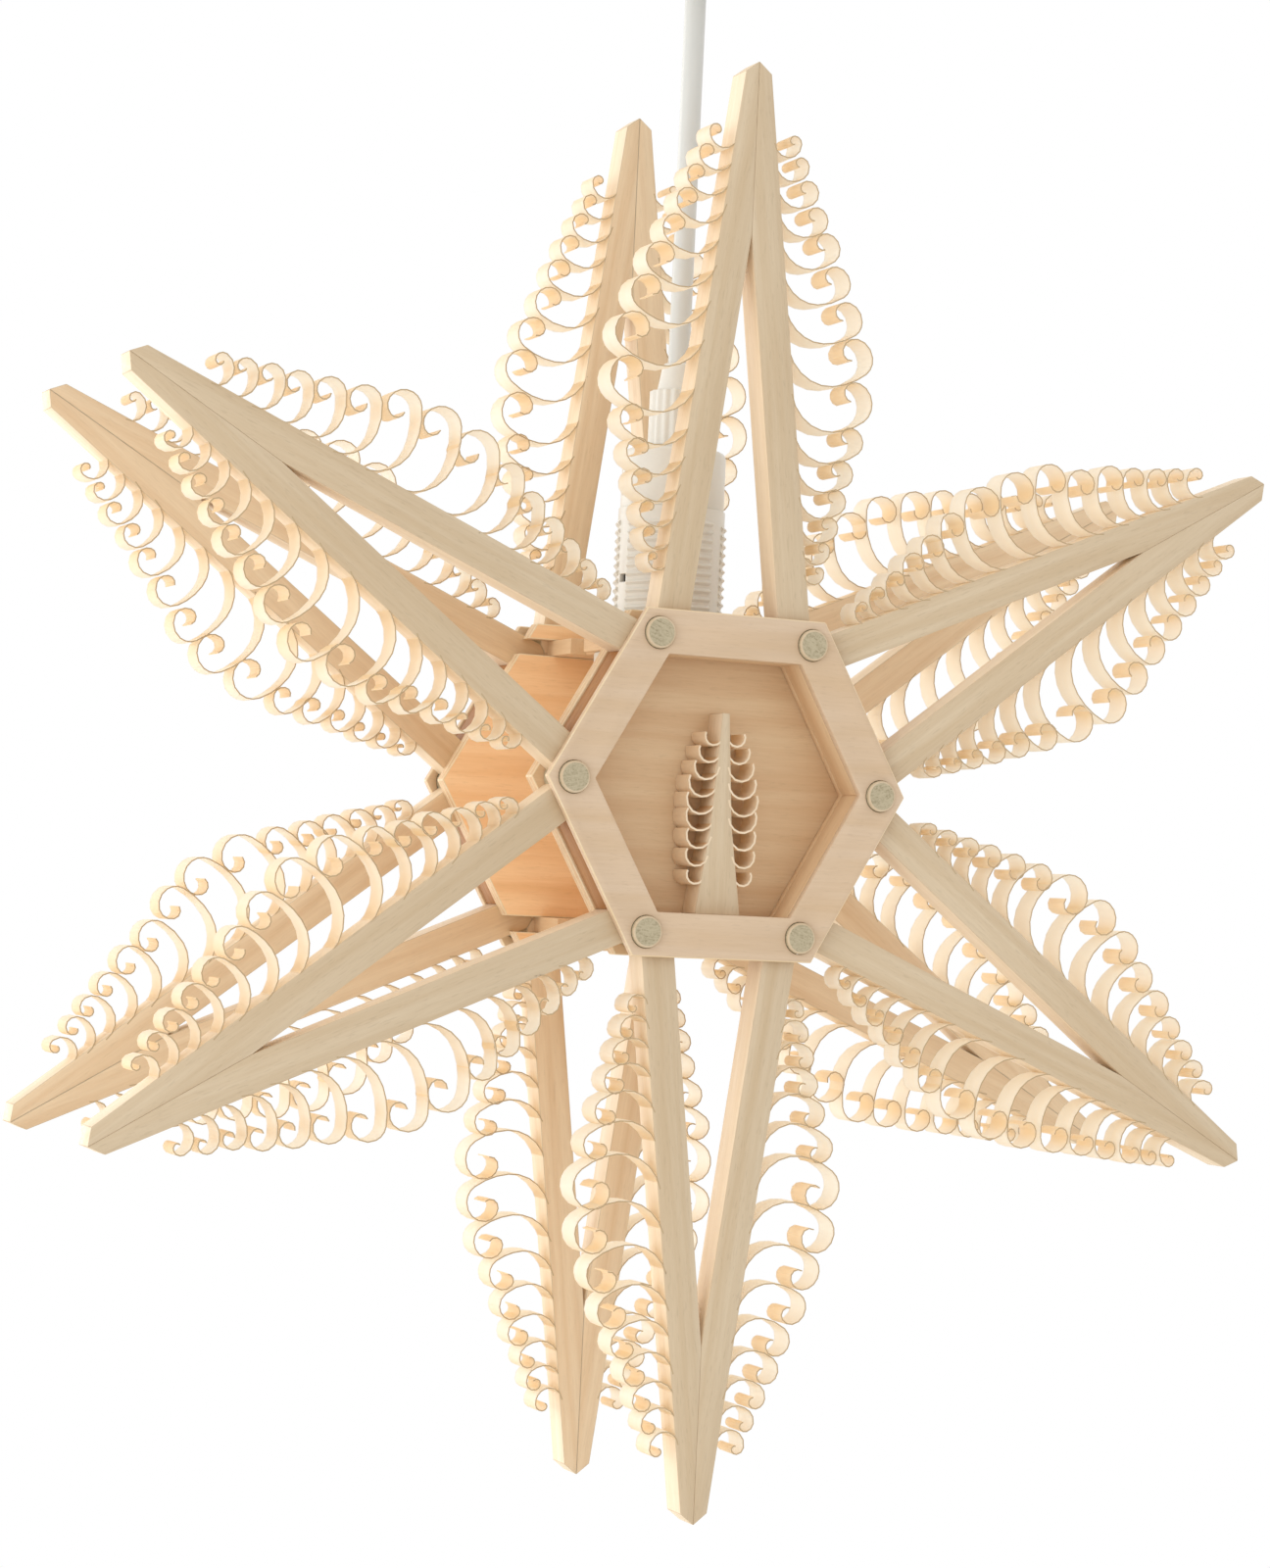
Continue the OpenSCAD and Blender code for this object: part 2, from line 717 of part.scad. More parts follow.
// Open hook under the ceiling plate, of one bent wire
module ceiling_hook() {
    color(metal_grey) {
        translate([-hook_bend, 0, hook_z]) cylinder(r = hook_wire, h = hook_shank);
        translate([0, 0, hook_z])
            rotate([90, 0, 0])
                rotate(180) rotate_extrude(angle = 180) translate([hook_bend, 0]) circle(hook_wire);
        translate([hook_bend, 0, hook_z]) cylinder(r = hook_wire, h = hook_tip);
    }
}

// Cup that hides the hook, open to the ceiling
module ceiling_cup() {
    color(plastic_white)
        difference() {
            translate([0, 0, -cup_h]) cylinder(d = cup_d, h = cup_h);
            translate([0, 0, -cup_h + cup_wall]) cylinder(r = cup_in_r, h = cup_h);
            translate([0, 0, -cup_h - 1]) cylinder(r = cup_hole_r, h = cup_wall + 2);
            translate([-cup_d, 0, -ceiling_t / 2])
                rotate([0, 90, 0]) cylinder(r = cup_screw_r + plug_fit, h = 2 * cup_d);
        }
}

module cup_screws() {
    color(metal_grey)
        for (m = [0, 1])
            mirror([m, 0, 0])
                translate([cup_d / 2 - cup_screw_l, 0, -ceiling_t / 2])
                    rotate([0, 90, 0]) {
                        cylinder(r = cup_screw_r, h = cup_screw_l);
                        translate([0, 0, cup_screw_l]) cylinder(r = cup_screw_head_r, h = cup_screw_head_t);
                    }
}

// Terminal block under the ceiling plate, with two wire holes
module terminal_block() {
    color(plastic_white)
        difference() {
            translate([block_x - block.x / 2, -block.y / 2, -ceiling_t - block.z]) cube(block);
            for (y = [-block.y / 4, block.y / 4])
                translate([block_x - block.x, y, -ceiling_t - block.z / 2])
                    rotate([0, 90, 0]) cylinder(r = block_hole_r, h = 2 * block.x);
        }
}

module wire_ring(r) {
    rotate_extrude() translate([r, 0]) circle(link_wire);
}

module hang_link() {
    color(metal_grey)
        translate([0, 0, link_z]) rotate([0, 90, 0]) wire_ring(link_r);
}

// Eye and barrel that hold the upper end of the cord
module cord_hanger() {
    color(metal_grey) {
        translate([0, 0, eye_z]) rotate([90, 0, 0]) wire_ring(eye_r);
        difference() {
            translate([0, 0, barrel_low]) cylinder(d = barrel_d, h = barrel_l);
            translate([0, 0, barrel_low - 1])
                cylinder(r = cord_d / 2 + slide_fit, h = cord_top + body_gap - barrel_low + 1);
        }
    }
}

ceiling_plate();
ceiling_hook();
ceiling_cup();
cup_screws();
terminal_block();
hang_link();
cord_hanger();
lamp_cord();
for (side = ["front", "rear"]) {
    ring(side);
    core(side);
    plate(side);
    plugs(side);
    half_tree(side);
    for (n = [1 : 2 * points])
        bar(side, n);
}
top_board();
bottom_board();
socket_sleeve();
socket_cap();
cord_grip();
upper_ring_nut();
lower_ring_nut();
contact_insert();
shell_contact();
centre_contact();
inner_leads();
bulb_tip();
bulb_shell();
bulb_glass();
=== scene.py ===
"""Hanging star of carved wooden bars with shaved curls, built round a small lamp holder.

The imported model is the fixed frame. Every piece below stands for one of its nodes, or gives a node
its finish, and rides on the body that carries it.
"""

import math
import random

import bmesh
import bpy
from bpy.props import FloatProperty, FloatVectorProperty, IntProperty, PointerProperty
from mathutils import Matrix, Vector


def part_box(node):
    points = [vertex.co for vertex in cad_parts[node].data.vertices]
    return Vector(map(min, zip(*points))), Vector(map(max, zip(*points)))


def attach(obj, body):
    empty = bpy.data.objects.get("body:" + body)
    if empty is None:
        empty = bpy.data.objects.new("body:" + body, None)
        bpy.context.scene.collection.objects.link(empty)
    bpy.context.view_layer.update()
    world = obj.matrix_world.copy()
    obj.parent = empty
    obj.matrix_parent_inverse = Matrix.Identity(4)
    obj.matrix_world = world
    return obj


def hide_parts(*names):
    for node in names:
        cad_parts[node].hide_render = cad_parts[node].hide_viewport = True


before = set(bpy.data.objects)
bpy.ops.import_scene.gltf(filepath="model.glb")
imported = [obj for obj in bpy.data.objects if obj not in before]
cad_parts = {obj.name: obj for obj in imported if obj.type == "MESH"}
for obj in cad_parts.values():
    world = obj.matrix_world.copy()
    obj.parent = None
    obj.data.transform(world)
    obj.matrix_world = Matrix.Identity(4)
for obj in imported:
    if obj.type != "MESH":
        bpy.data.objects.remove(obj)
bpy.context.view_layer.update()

bl_info = {
    "name": "Light-up star decoration",
    "version": (1, 0, 0),
    "blender": (4, 5, 0),
    "location": "3D View > Sidebar > Star",
    "description": "Builds a hanging star of carved bars with shaved curls round a lamp holder",
    "category": "Add Mesh",
}

MM = 0.001
SIDES = ("front", "rear")
ORIGIN = Vector((0, 0, 0))
AXIS_X = Vector((1, 0, 0))
AXIS_Y = Vector((0, 1, 0))
AXIS_Z = Vector((0, 0, 1))

# Points of a star, and the turn from one to the next
POINTS = 6
TURN = math.tau / POINTS

# Attributes that hold a point's place in the grain, and how far along its ribbon it lies
GRAIN = "grain"
RUN = "run"

# Edges that turn by more stay sharp, and points that lie closer become one
SHARP = math.radians(32)
MERGE = 0.001 * MM

# Play round a plug and round the sleeve
FIT = 0.1 * MM

# Sizes that the frame gives: the hub's corner radius, the star's centre and the layers of a half
RING_LOW, RING_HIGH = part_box("front_ring")
HUB_R = (RING_HIGH.x - RING_LOW.x) / 2
HUB_FLAT = HUB_R * math.cos(TURN / 2)
STAR_Z = (RING_LOW.z + RING_HIGH.z) / 2
FACE_Y = -RING_LOW.y
RING_Y = -RING_HIGH.y
CORE_Y = -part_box("front_core")[1].y
PLATE_Y = -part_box("front_plate")[1].y
FLOOR_Y = -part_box("front_half_tree")[1].y
TREE_Y = -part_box("front_half_tree")[0].y
PLUG_Y = -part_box("front_plugs")[0].y
STAR_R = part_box("front_bar_01")[1].z - STAR_Z


def linear(hex_colour):
    """Linear red, green and blue of an sRGB hex colour."""
    channels = [int(hex_colour[i : i + 2], 16) / 255 for i in (1, 3, 5)]
    return tuple(c / 12.92 if c <= 0.04045 else ((c + 0.055) / 1.055) ** 2.4 for c in channels)


def length(name, description, default):
    """Length property, with its default in metres."""
    return FloatProperty(
        name=name, description=description, default=default, subtype="DISTANCE", unit="LENGTH", precision=5
    )


def factor(name, description, default):
    """Property without a unit."""
    return FloatProperty(name=name, description=description, default=default, subtype="FACTOR")


def power(name, description, default):
    """Power property, with its default in watts."""
    return FloatProperty(name=name, description=description, default=default, unit="POWER")


def colour(name, description, hex_colour):
    """Colour property, with its default as an sRGB hex colour."""
    return FloatVectorProperty(
        name=name, description=description, default=linear(hex_colour), subtype="COLOR", size=3, min=0, max=1
    )


class StarSizes(bpy.types.PropertyGroup):
    """Sizes of the carved star"""

    star_radius: length("Star radius", "From the centre of a star to the apex of a point", STAR_R)
    bar_width: length("Bar width", "Width of a bar across its face", 8.5 * MM)
    tip_half_width: length("Tip half width", "Half the width of a point at its shoulder", 3.5 * MM)
    tip_roof: length("Tip roof", "Height of the small roof that ends a point", 2.7 * MM)
    corner_inset: length("Corner inset", "Along a hub edge from its corner to the bar", 3.5 * MM)
    ring_width: length("Ring width", "Width of the face ring", 10.7 * MM)
    core_wall: length("Core wall", "Wall between the recess and the bar roots", 3.5 * MM)
    core_inset: length("Core inset", "Step of the core in from the edge of the ring", 0.6 * MM)
    plug_diameter: length("Plug diameter", "Diameter of the corner plugs", 7.6 * MM)
    plug_inset: length("Plug inset", "Distance of a plug from its corner", 6.8 * MM)
    edge_round: length("Edge round", "Softening of the hub's sanded edges", 0.3 * MM)
    bar_round: length("Bar round", "Softening of the bars' crisper edges", 0.18 * MM)


class CurlSizes(bpy.types.PropertyGroup):
    """Sizes of the shaved curls"""

    thickness: length("Thickness", "Thickness of a shaved ribbon", 0.3 * MM)
    bite: length("Bite", "Depth of a ribbon's root in its bar", 0.45 * MM)
    first: length("First", "From the shoulder to the floor of the first curl", 20 * MM)
    reach: length("Reach", "Reach of the first curl out from its bar", 7.4 * MM)
    growth: factor("Growth", "Reach gained along the bar", 0.31)
    longest: length("Longest", "Longest reach of a curl", 23.5 * MM)
    step: length("Step", "Part of the step between curls that doesn't depend on their reach", 3.4 * MM)
    open_step: factor("Open step", "Step gained for the reach of free curls", 0.33)
    close_step: factor("Close step", "The same near the next point", 0.19)
    room: length("Room", "Kept between a curl and the line to the next point", 1.2 * MM)
    hub_plain: length("Hub plain", "Plain length of a bar at the hub", 8.5 * MM)
    play: factor("Play", "How much the curls differ from each other", 0.05)
    seed: IntProperty(name="Seed", description="Start of the differences between curls", default=12)


class TreeSizes(bpy.types.PropertyGroup):
    """Sizes of the small carved tree in a recess"""

    height: length("Height", "Height of the tree", 48.5 * MM)
    top_width: length("Top width", "Width at its top", 1.9 * MM)
    knee_width: length("Knee width", "Width where it starts to flare", 5.6 * MM)
    knee: length("Knee", "From its top to the flare", 27 * MM)
    foot_width: length("Foot width", "Width at its foot", 12 * MM)
    curls: IntProperty(name="Curls", description="Number of curls on each side", default=9)
    first: length("First", "From its top to the floor of the first curl", 7.8 * MM)
    step: length("Step", "From one curl to the next", 4.2 * MM)
    reach: length("Reach", "Reach of the longest curls", 7.4 * MM)
    thickness: length("Thickness", "Thickness of a shaved ribbon", 0.45 * MM)


class HolderSizes(bpy.types.PropertyGroup):
    """Sizes of the boards, the lamp holder and the ceiling fitting"""

    tenon_start: length("Tenon start", "Half the bridge of a plate between its slots", 7 * MM)
    notch_length: length("Notch length", "Length of a notch in the side of a board", 8 * MM)
    notch_depth: length("Notch depth", "Depth of a notch in the side of a board", 4.5 * MM)
    notch_place: length("Notch place", "From the middle of a board to a notch", 11.5 * MM)
    thread_pitch: length("Thread pitch", "Pitch of the sleeve's outer thread", 2.1 * MM)
    thread_depth: length("Thread depth", "Depth of the sleeve's outer thread", 0.6 * MM)
    strip_width: length("Strip width", "Width of the smooth strips in the thread", 5 * MM)
    sleeve_bore: length("Sleeve bore", "Inner diameter of the sleeve", 24 * MM)
    window_drop: length("Window drop", "From the sleeve's top to its latch window", 18 * MM)
    grip_taper: length("Grip taper", "Height of the tapered end of the cord grip", 7 * MM)
    grip_end: length("Grip end", "Diameter of the grip where the cord leaves it", 8 * MM)
    cup_wall: length("Cup wall", "Wall of the ceiling cup", 2 * MM)
    cup_hole: length("Cup hole", "Radius of the hole under the cup", 11 * MM)


class StarColours(bpy.types.PropertyGroup):
    """Colours of the woods, plastics and metals"""

    bar_pale: colour("Bar pale", "Pale wood of the bars", "#d6c2a4")
    bar_dark: colour("Bar dark", "Darker bands of the bars", "#cbb391")
    # The sides' colours hold painted light: lighter than the face, as light from the sides and behind falls
    # on them
    bar_side_pale: colour("Bar side pale", "Pale wood of the bars' sides", "#f0dcc0")
    bar_side_dark: colour("Bar side dark", "Darker bands of the bars' sides", "#e6ceac")
    # The inner faces' colours hold painted light: warmer, like light bounced between the two halves
    bar_inner_pale: colour("Bar inner pale", "Pale wood of the bars' inner faces", "#e8cfac")
    bar_inner_dark: colour("Bar inner dark", "Darker bands of the bars' inner faces", "#dcbc95")
    ribbon_pale: colour("Ribbon pale", "Shaved wood seen by light from the front", "#fffefa")
    ribbon_dark: colour("Ribbon dark", "Late wood in a shaved ribbon", "#fdf5e6")
    # The root and tip colours hold painted shade: darker where a ribbon leaves its bar, warmer where its end
    # lies rolled in layers
    ribbon_root: colour("Ribbon root", "Thicker wood where a ribbon leaves its bar", "#f9e2be")
    ribbon_tip: colour("Ribbon tip", "Rolled end of a ribbon, where it lies in layers", "#fbdaa8")
    ribbon_glow: colour("Ribbon glow", "Light that comes through a ribbon", "#fffbf2")
    # Painted shade: the cut edges of the ribbons are darker
    ribbon_edge: colour("Ribbon edge", "Cut edge of a ribbon", "#c0a680")
    # The trees' ribbon colours hold painted warm shade: more orange than the bars' ribbons, and darkest at
    # the root
    tree_ribbon_pale: colour("Tree ribbon pale", "Shaved wood of the small trees", "#fff4dc")
    tree_ribbon_dark: colour("Tree ribbon dark", "Late wood in a ribbon of the trees", "#fae8c8")
    tree_ribbon_root: colour("Tree ribbon root", "Thicker wood where such a ribbon starts", "#e6b678")
    tree_ribbon_tip: colour("Tree ribbon tip", "End of such a ribbon", "#fae8c8")
    tree_ribbon_glow: colour("Tree ribbon glow", "Light that comes through such a ribbon", "#f9d8a8")
    ring_pale: colour("Ring pale", "Pale wood of the face rings", "#d9c0a4")
    ring_dark: colour("Ring dark", "Darker bands of the face rings", "#d2b593")
    panel_pale: colour("Panel pale", "Pale wood of the plates and boards", "#dec099")
    panel_dark: colour("Panel dark", "Darker bands of the plates and boards", "#d4b087")
    # The inner faces' colours hold painted light: orange, like light bounced between the halves
    panel_inner_pale: colour("Panel inner pale", "Pale wood of the plates' inner faces", "#fbd2a2")
    panel_inner_dark: colour("Panel inner dark", "Darker bands of the plates' inner faces", "#f0bf8a")
    # The core's colours hold painted shade: dark brown, for the band between ring and plate
    core_pale: colour("Core pale", "Pale wood of the cores", "#b17e4a")
    core_dark: colour("Core dark", "Darker bands of the cores", "#9d6b3c")
    # The edges' colours hold a painted highlight: lighter than the faces
    edge_pale: colour("Edge pale", "Pale wood of the sanded edges", "#ecd8b8")
    edge_dark: colour("Edge dark", "Darker bands of the sanded edges", "#e4caa2")
    plug_pale: colour("Plug pale", "Pale end grain of the plugs", "#bbae90")
    plug_dark: colour("Plug dark", "Dark end grain of the plugs", "#97896b")
    plastic: colour("Plastic", "Moulded plastic of the lamp holder", "#e0ddd4")
    sheath: colour("Sheath", "Sheath of the cord", "#d2d2cd")
    phenolic: colour("Phenolic", "Dark insert of the lamp holder", "#3a2a20")
    steel: colour("Steel", "Zinc-plated steel", "#c3c6c9")
    brass: colour("Brass", "Stamped brass", "#d3b05c")
    glass: colour("Glass", "Opal glass of the bulb", "#f6f3ec")
    floor: colour("Floor", "Pale floor", "#f2f1ee")


class StageLight(bpy.types.PropertyGroup):
    """Strengths of the studio light"""

    room: factor("Room", "Light from all round", 0.98)
    side: power("Side", "Soft lamp at the left, in watts", 5.5)
    back: power("Back", "Soft lamp behind, in watts", 9.0)
    floor_drop: length("Floor drop", "From the ceiling down to the floor", 0.95)


# Materials

# Inputs of a node that mixes two colours
SHARE = 0
UNDER = 6
OVER = 7

WOOD_IOR = 1.45

# Sawn woods, with the width of their growth bands in millimetres and how strongly their pores show
SAWN_WOODS = {
    # Planed linden, sanded by hand: pale, with faint bands and few pores
    "bar": dict(name="planed_linden_bar", band=3.2, fleck_share=0.2),
    # The same linden on the bars' sides: lighter, with painted light, as light from the sides and behind
    # falls on them
    "bar_side": dict(name="unsanded_linden_side", band=3.2, fleck_share=0.12),
    # The same linden on the bars' inner faces: lighter and warmer, with painted light bounced between the
    # wood of the two halves
    "bar_inner": dict(name="split_linden_face", band=3.2, fleck_share=0.12),
    # Rotary-cut birch face: pinkish, with wide soft bands
    "ring": dict(name="sanded_birch_ring", band=5.0, fleck_share=0.15),
    # Alder board: warmer and darker, with soft bands
    "panel": dict(name="sawn_alder_board", band=4.2, fleck_share=0.15),
    # The same alder on the plates' inner faces: orange, with painted warm light bounced between the wood of
    # the two halves
    "panel_inner": dict(name="unsanded_alder_face", band=4.2, fleck_share=0.15),
    # Sawn side of the core: coarse streaks that the saw left, and browner with painted shade, as this narrow
    # band between ring and plate lies in shade
    "core": dict(name="sawn_alder_core", band=2.4, fleck_share=0.25),
    # Broken edge: lighter, as a painted highlight along the softened edges
    "edge": dict(name="sanded_wood_edge", band=3.2, fleck_share=0.1),
}

SHAVED_RIBBONS = {
    # Shaved linden: so thin that most light comes through, with a silky face from the knife
    "ribbon": dict(name="shaved_linden_ribbon", through_share=0.7),
    # The same ribbon in the small trees, shaved thicker, so less light comes through; it is more orange with
    # painted warm shade, as the trees stand in the recess, and darker at the root with painted shade
    "tree_ribbon": dict(name="shaved_linden_tree_ribbon", through_share=0.3),
}

# Even surfaces, with how dark their grain is and its size in millimetres, which is coarser than the real
# grain so that it shows
EVEN_SURFACES = {
    # Edge of a shaved ribbon: darker with painted shade, as its thin cut edge lies in shade
    "ribbon_edge": dict(name="dusty_ribbon_edge", shade=0.85, grain=1.5, roughness=0.7),
    # Moulded thermoplastic: even, with a faint spark-eroded texture that dulls its gloss
    "plastic": dict(name="moulded_white_plastic", shade=0.95, grain=0.9, roughness=0.38),
    # Extruded sheath: smooth, with drawing marks along the cord
    "sheath": dict(name="extruded_cord_sheath", shade=0.93, grain=1.4, roughness=0.42, stretch=(1, 1, 0.1)),
    # Pressed phenolic resin: dark brown, mottled by its filler
    "phenolic": dict(name="pressed_phenolic_resin", shade=0.6, grain=0.8, roughness=0.45),
    # Zinc-plated steel: grey, with a fine spangle
    "steel": dict(name="zinc_plated_steel", shade=0.85, grain=1.1, roughness=0.34, metallic=1.0),
    # Stamped brass: yellow, with a fine grain from the die
    "brass": dict(name="stamped_brass", shade=0.85, grain=1.2, roughness=0.3, metallic=1.0),
    # Opal glass: milky white under a smooth gloss
    "glass": dict(name="opal_glass", shade=0.97, grain=6.0, roughness=0.2, specular=0.6),
}


def add_node(tree, kind, inputs, **settings):
    """Add a node with its settings. An input is a value, a colour, a socket or a node's first output."""
    node = tree.nodes.new("ShaderNode" + kind)
    for name, value in settings.items():
        setattr(node, name, value)
    for key, value in inputs.items():
        socket = node.inputs[key]
        if isinstance(value, bpy.types.Node):
            value = next(output for output in value.outputs if output.enabled)
        if isinstance(value, bpy.types.NodeSocket):
            tree.links.new(value, socket)
        elif socket.type == "RGBA":
            socket.default_value = (*value, 1.0)
        else:
            socket.default_value = value
    return node


def new_material(name):
    """Material and its empty node tree."""
    material = bpy.data.materials.new(name)
    material.use_nodes = True
    material.node_tree.nodes.clear()
    return material, material.node_tree


def grain_noise(tree, along, across, detail, low, high):
    """Streaks along the grain, from 0 to 1, with their length and width in millimetres."""
    place = add_node(tree, "Attribute", {}, attribute_name=GRAIN).outputs["Vector"]
    scale = (1 / (along * MM), 1 / (across * MM), 1 / (across * MM))
    sized = add_node(tree, "Mapping", {"Vector": place, "Scale": scale})
    noise = add_node(tree, "TexNoise", {"Vector": sized, "Scale": 1.0, "Detail": detail, "Distortion": 0.3})
    return add_node(tree, "MapRange", {"Value": noise, "From Min": low, "From Max": high})


def object_noise(tree, size, stretch=(1, 1, 1)):
    """Noise on Object coordinates, from 0 to 1, with its grain size in millimetres."""
    place = add_node(tree, "TexCoord", {}).outputs["Object"]
    scale = [s / (size * MM) for s in stretch]
    sized = add_node(tree, "Mapping", {"Vector": place, "Scale": scale})
    return add_node(tree, "TexNoise", {"Vector": sized, "Scale": 1.0, "Detail": 3})


def sawn_wood(pale, dark, name, band, fleck_share):
    """Planed and sanded wood: growth bands, short dark pores along the grain and a dull, silky face.

    Its fibres and pores are drawn coarser than they are, so that they show.
    """
    material, tree = new_material(name)
    bands = grain_noise(tree, along=70, across=band, detail=3, low=0.32, high=0.68)
    fibres = grain_noise(tree, along=9, across=0.55, detail=2, low=0.3, high=0.7)
    pores = grain_noise(tree, along=3, across=0.4, detail=1, low=0.6, high=0.72)
    fibre_share = 0.22
    fibre_tint = [0.86 * c for c in dark]
    pore_tint = [0.6 * c for c in dark]
    broad = add_node(tree, "Mix", {SHARE: bands, UNDER: dark, OVER: pale}, data_type="RGBA")
    streaks = add_node(tree, "Math", {0: fibres, 1: fibre_share}, operation="MULTIPLY")
    fine = add_node(tree, "Mix", {SHARE: streaks, UNDER: broad, OVER: fibre_tint}, data_type="RGBA")
    flecks = add_node(tree, "Math", {0: pores, 1: fleck_share}, operation="MULTIPLY")
    speckled = add_node(tree, "Mix", {SHARE: flecks, UNDER: fine, OVER: pore_tint}, data_type="RGBA")
    rough = add_node(tree, "MapRange", {"Value": fibres, "To Min": 0.5, "To Max": 0.68})
    bump = add_node(tree, "Bump", {"Height": fibres, "Strength": 0.25, "Distance": 0.08 * MM})
    face = {"Base Color": speckled, "Roughness": rough, "Normal": bump, "IOR": WOOD_IOR}
    add_node(tree, "OutputMaterial", {"Surface": add_node(tree, "BsdfPrincipled", face)})
    return material


def shaved_ribbon(pale, dark, root, tip, glow, name, through_share):
    """Thin wood shaving: fine lines along its length, and a share of the light that comes through it.

    It is darker at its root with painted shade, where it leaves its bar, and warmer at its end with painted
    shade, where its rolled layers lie over each other.
    """
    material, tree = new_material(name)
    lines = grain_noise(tree, along=24, across=0.6, detail=3, low=0.32, high=0.7)
    run = add_node(tree, "Attribute", {}, attribute_name=RUN).outputs["Fac"]
    # Painted shade: darker towards the root, warmer towards the rolled end
    past_root = add_node(tree, "MapRange", {"Value": run, "From Min": 0.05, "From Max": 0.4})
    near_tip = add_node(tree, "MapRange", {"Value": run, "From Min": 0.6, "From Max": 0.85})
    lined = add_node(tree, "Mix", {SHARE: lines, UNDER: dark, OVER: pale}, data_type="RGBA")
    rooted = add_node(tree, "Mix", {SHARE: past_root, UNDER: root, OVER: lined}, data_type="RGBA")
    rolled = add_node(tree, "Mix", {SHARE: near_tip, UNDER: rooted, OVER: tip}, data_type="RGBA")
    bump = add_node(tree, "Bump", {"Height": lines, "Strength": 0.3, "Distance": 0.05 * MM})
    face = {"Base Color": rolled, "Roughness": 0.5, "Normal": bump, "IOR": WOOD_IOR}
    front = add_node(tree, "BsdfPrincipled", face)
    through = add_node(tree, "BsdfTranslucent", {"Color": glow})
    both = add_node(tree, "MixShader", {0: through_share, 1: front, 2: through})
    add_node(tree, "OutputMaterial", {"Surface": both})
    return material


def end_grain(pale, dark):
    """Sawn end of a dowel: fine round pores, drawn coarse enough to show, and scratches from the sanding."""
    material, tree = new_material("sanded_dowel_end")
    pores = grain_noise(tree, along=0.5, across=0.5, detail=2, low=0.35, high=0.65)
    scratches = grain_noise(tree, along=2.5, across=0.35, detail=2, low=0.35, high=0.65)
    both = add_node(tree, "Math", {0: pores, 1: scratches}, operation="MULTIPLY")
    tint = add_node(tree, "Mix", {SHARE: both, UNDER: pale, OVER: dark}, data_type="RGBA")
    bump = add_node(tree, "Bump", {"Height": scratches, "Strength": 0.3, "Distance": 0.08 * MM})
    face = {"Base Color": tint, "Roughness": 0.55, "Normal": bump, "IOR": WOOD_IOR}
    add_node(tree, "OutputMaterial", {"Surface": add_node(tree, "BsdfPrincipled", face)})
    return material


def even_surface(tint, name, shade, grain, roughness, stretch=(1, 1, 1), metallic=0.0, specular=0.5):
    """Even surface whose fine grain shows in its tint, its gloss and a slight bump."""
    material, tree = new_material(name)
    noise = object_noise(tree, grain, stretch)
    dark = [shade * c for c in tint]
    play = 0.08
    base = add_node(tree, "Mix", {SHARE: noise, UNDER: dark, OVER: tint}, data_type="RGBA")
    gloss = add_node(
        tree, "MapRange", {"Value": noise, "To Min": roughness - play, "To Max": roughness + play}
    )
    bump = add_node(tree, "Bump", {"Height": noise, "Strength": 0.12, "Distance": 0.05 * MM})
    face = {
        "Base Color": base,
        "Roughness": gloss,
        "Normal": bump,
        "Metallic": metallic,
        "Specular IOR Level": specular,
    }
    add_node(tree, "OutputMaterial", {"Surface": add_node(tree, "BsdfPrincipled", face)})
    return material


def tones(finish, *kinds):
    """Colours that carry the name of a finish."""
    return [getattr(bpy.context.scene.star_colours, f"{finish}_{kind}") for kind in kinds]


def make_finish(finish):
    """Material of a finish."""
    if finish in SAWN_WOODS:
        return sawn_wood(*tones(finish, "pale", "dark"), **SAWN_WOODS[finish])
    if finish in SHAVED_RIBBONS:
        return shaved_ribbon(*tones(finish, "pale", "dark", "root", "tip", "glow"), **SHAVED_RIBBONS[finish])
    if finish in EVEN_SURFACES:
        return even_surface(getattr(bpy.context.scene.star_colours, finish), **EVEN_SURFACES[finish])
    return end_grain(*tones(finish, "pale", "dark"))


MADE_FINISHES = {}


def finish_of(finish):
    """One of the finishes, which are made once."""
    if finish not in MADE_FINISHES:
        MADE_FINISHES[finish] = make_finish(finish)
    return MADE_FINISHES[finish]


# Shared shaping


def direction(turn):
    """Direction in the plane of an outline."""
    return Vector((math.cos(turn), math.sin(turn)))


def mirrored(outline):
    """Mirror image of an outline, in the order that goes on from its end."""
    return [(-x, y) for x, y in reversed(outline)]


def weld(bm):
    """Make one point of those that lie together."""
    bmesh.ops.remove_doubles(bm, verts=bm.verts[:], dist=MERGE)


def extrude(bm, faces, height):
    """Extrude faces along Z."""
    made = bmesh.ops.extrude_face_region(bm, geom=faces)
    ends = [v for v in made["geom"] if isinstance(v, bmesh.types.BMVert)]
    bmesh.ops.translate(bm, vec=(0, 0, height), verts=ends)


def move(bm, place):
    """Move a whole mesh to its place."""
    bmesh.ops.transform(bm, matrix=place, verts=bm.verts[:])


def soften(bm, softness, segments=2, edge_finish=-1):
    """Round every sharp edge by a small radius, with a finish of its own if it has one."""
    bmesh.ops.recalc_face_normals(bm, faces=bm.faces[:])
    bmesh.ops.bevel(
        bm,
        geom=[e for e in bm.edges if e.calc_face_angle(0) > SHARP],
        offset=softness,
        segments=segments,
        profile=0.5,
        affect="EDGES",
        clamp_overlap=True,
        material=edge_finish,
    )


def prism(outlines, low, high, softness, edge_finish=-1):
    """Solid between two levels over outlines that share their seams, with softened edges."""
    bm = bmesh.new()
    for outline in outlines:
        bm.faces.new([bm.verts.new((x, y, low)) for x, y in outline])
    weld(bm)
    extrude(bm, bm.faces[:], high - low)
    soften(bm, softness, edge_finish=edge_finish)
    return bm


def mark_level(bm, level, finish):
    """Give the flat faces at one level a finish of their own."""
    near = 0.01 * MM
    for face in bm.faces:
        if face.material_index == 0 and abs(face.calc_center_median().z - level) < near:
            face.material_index = finish


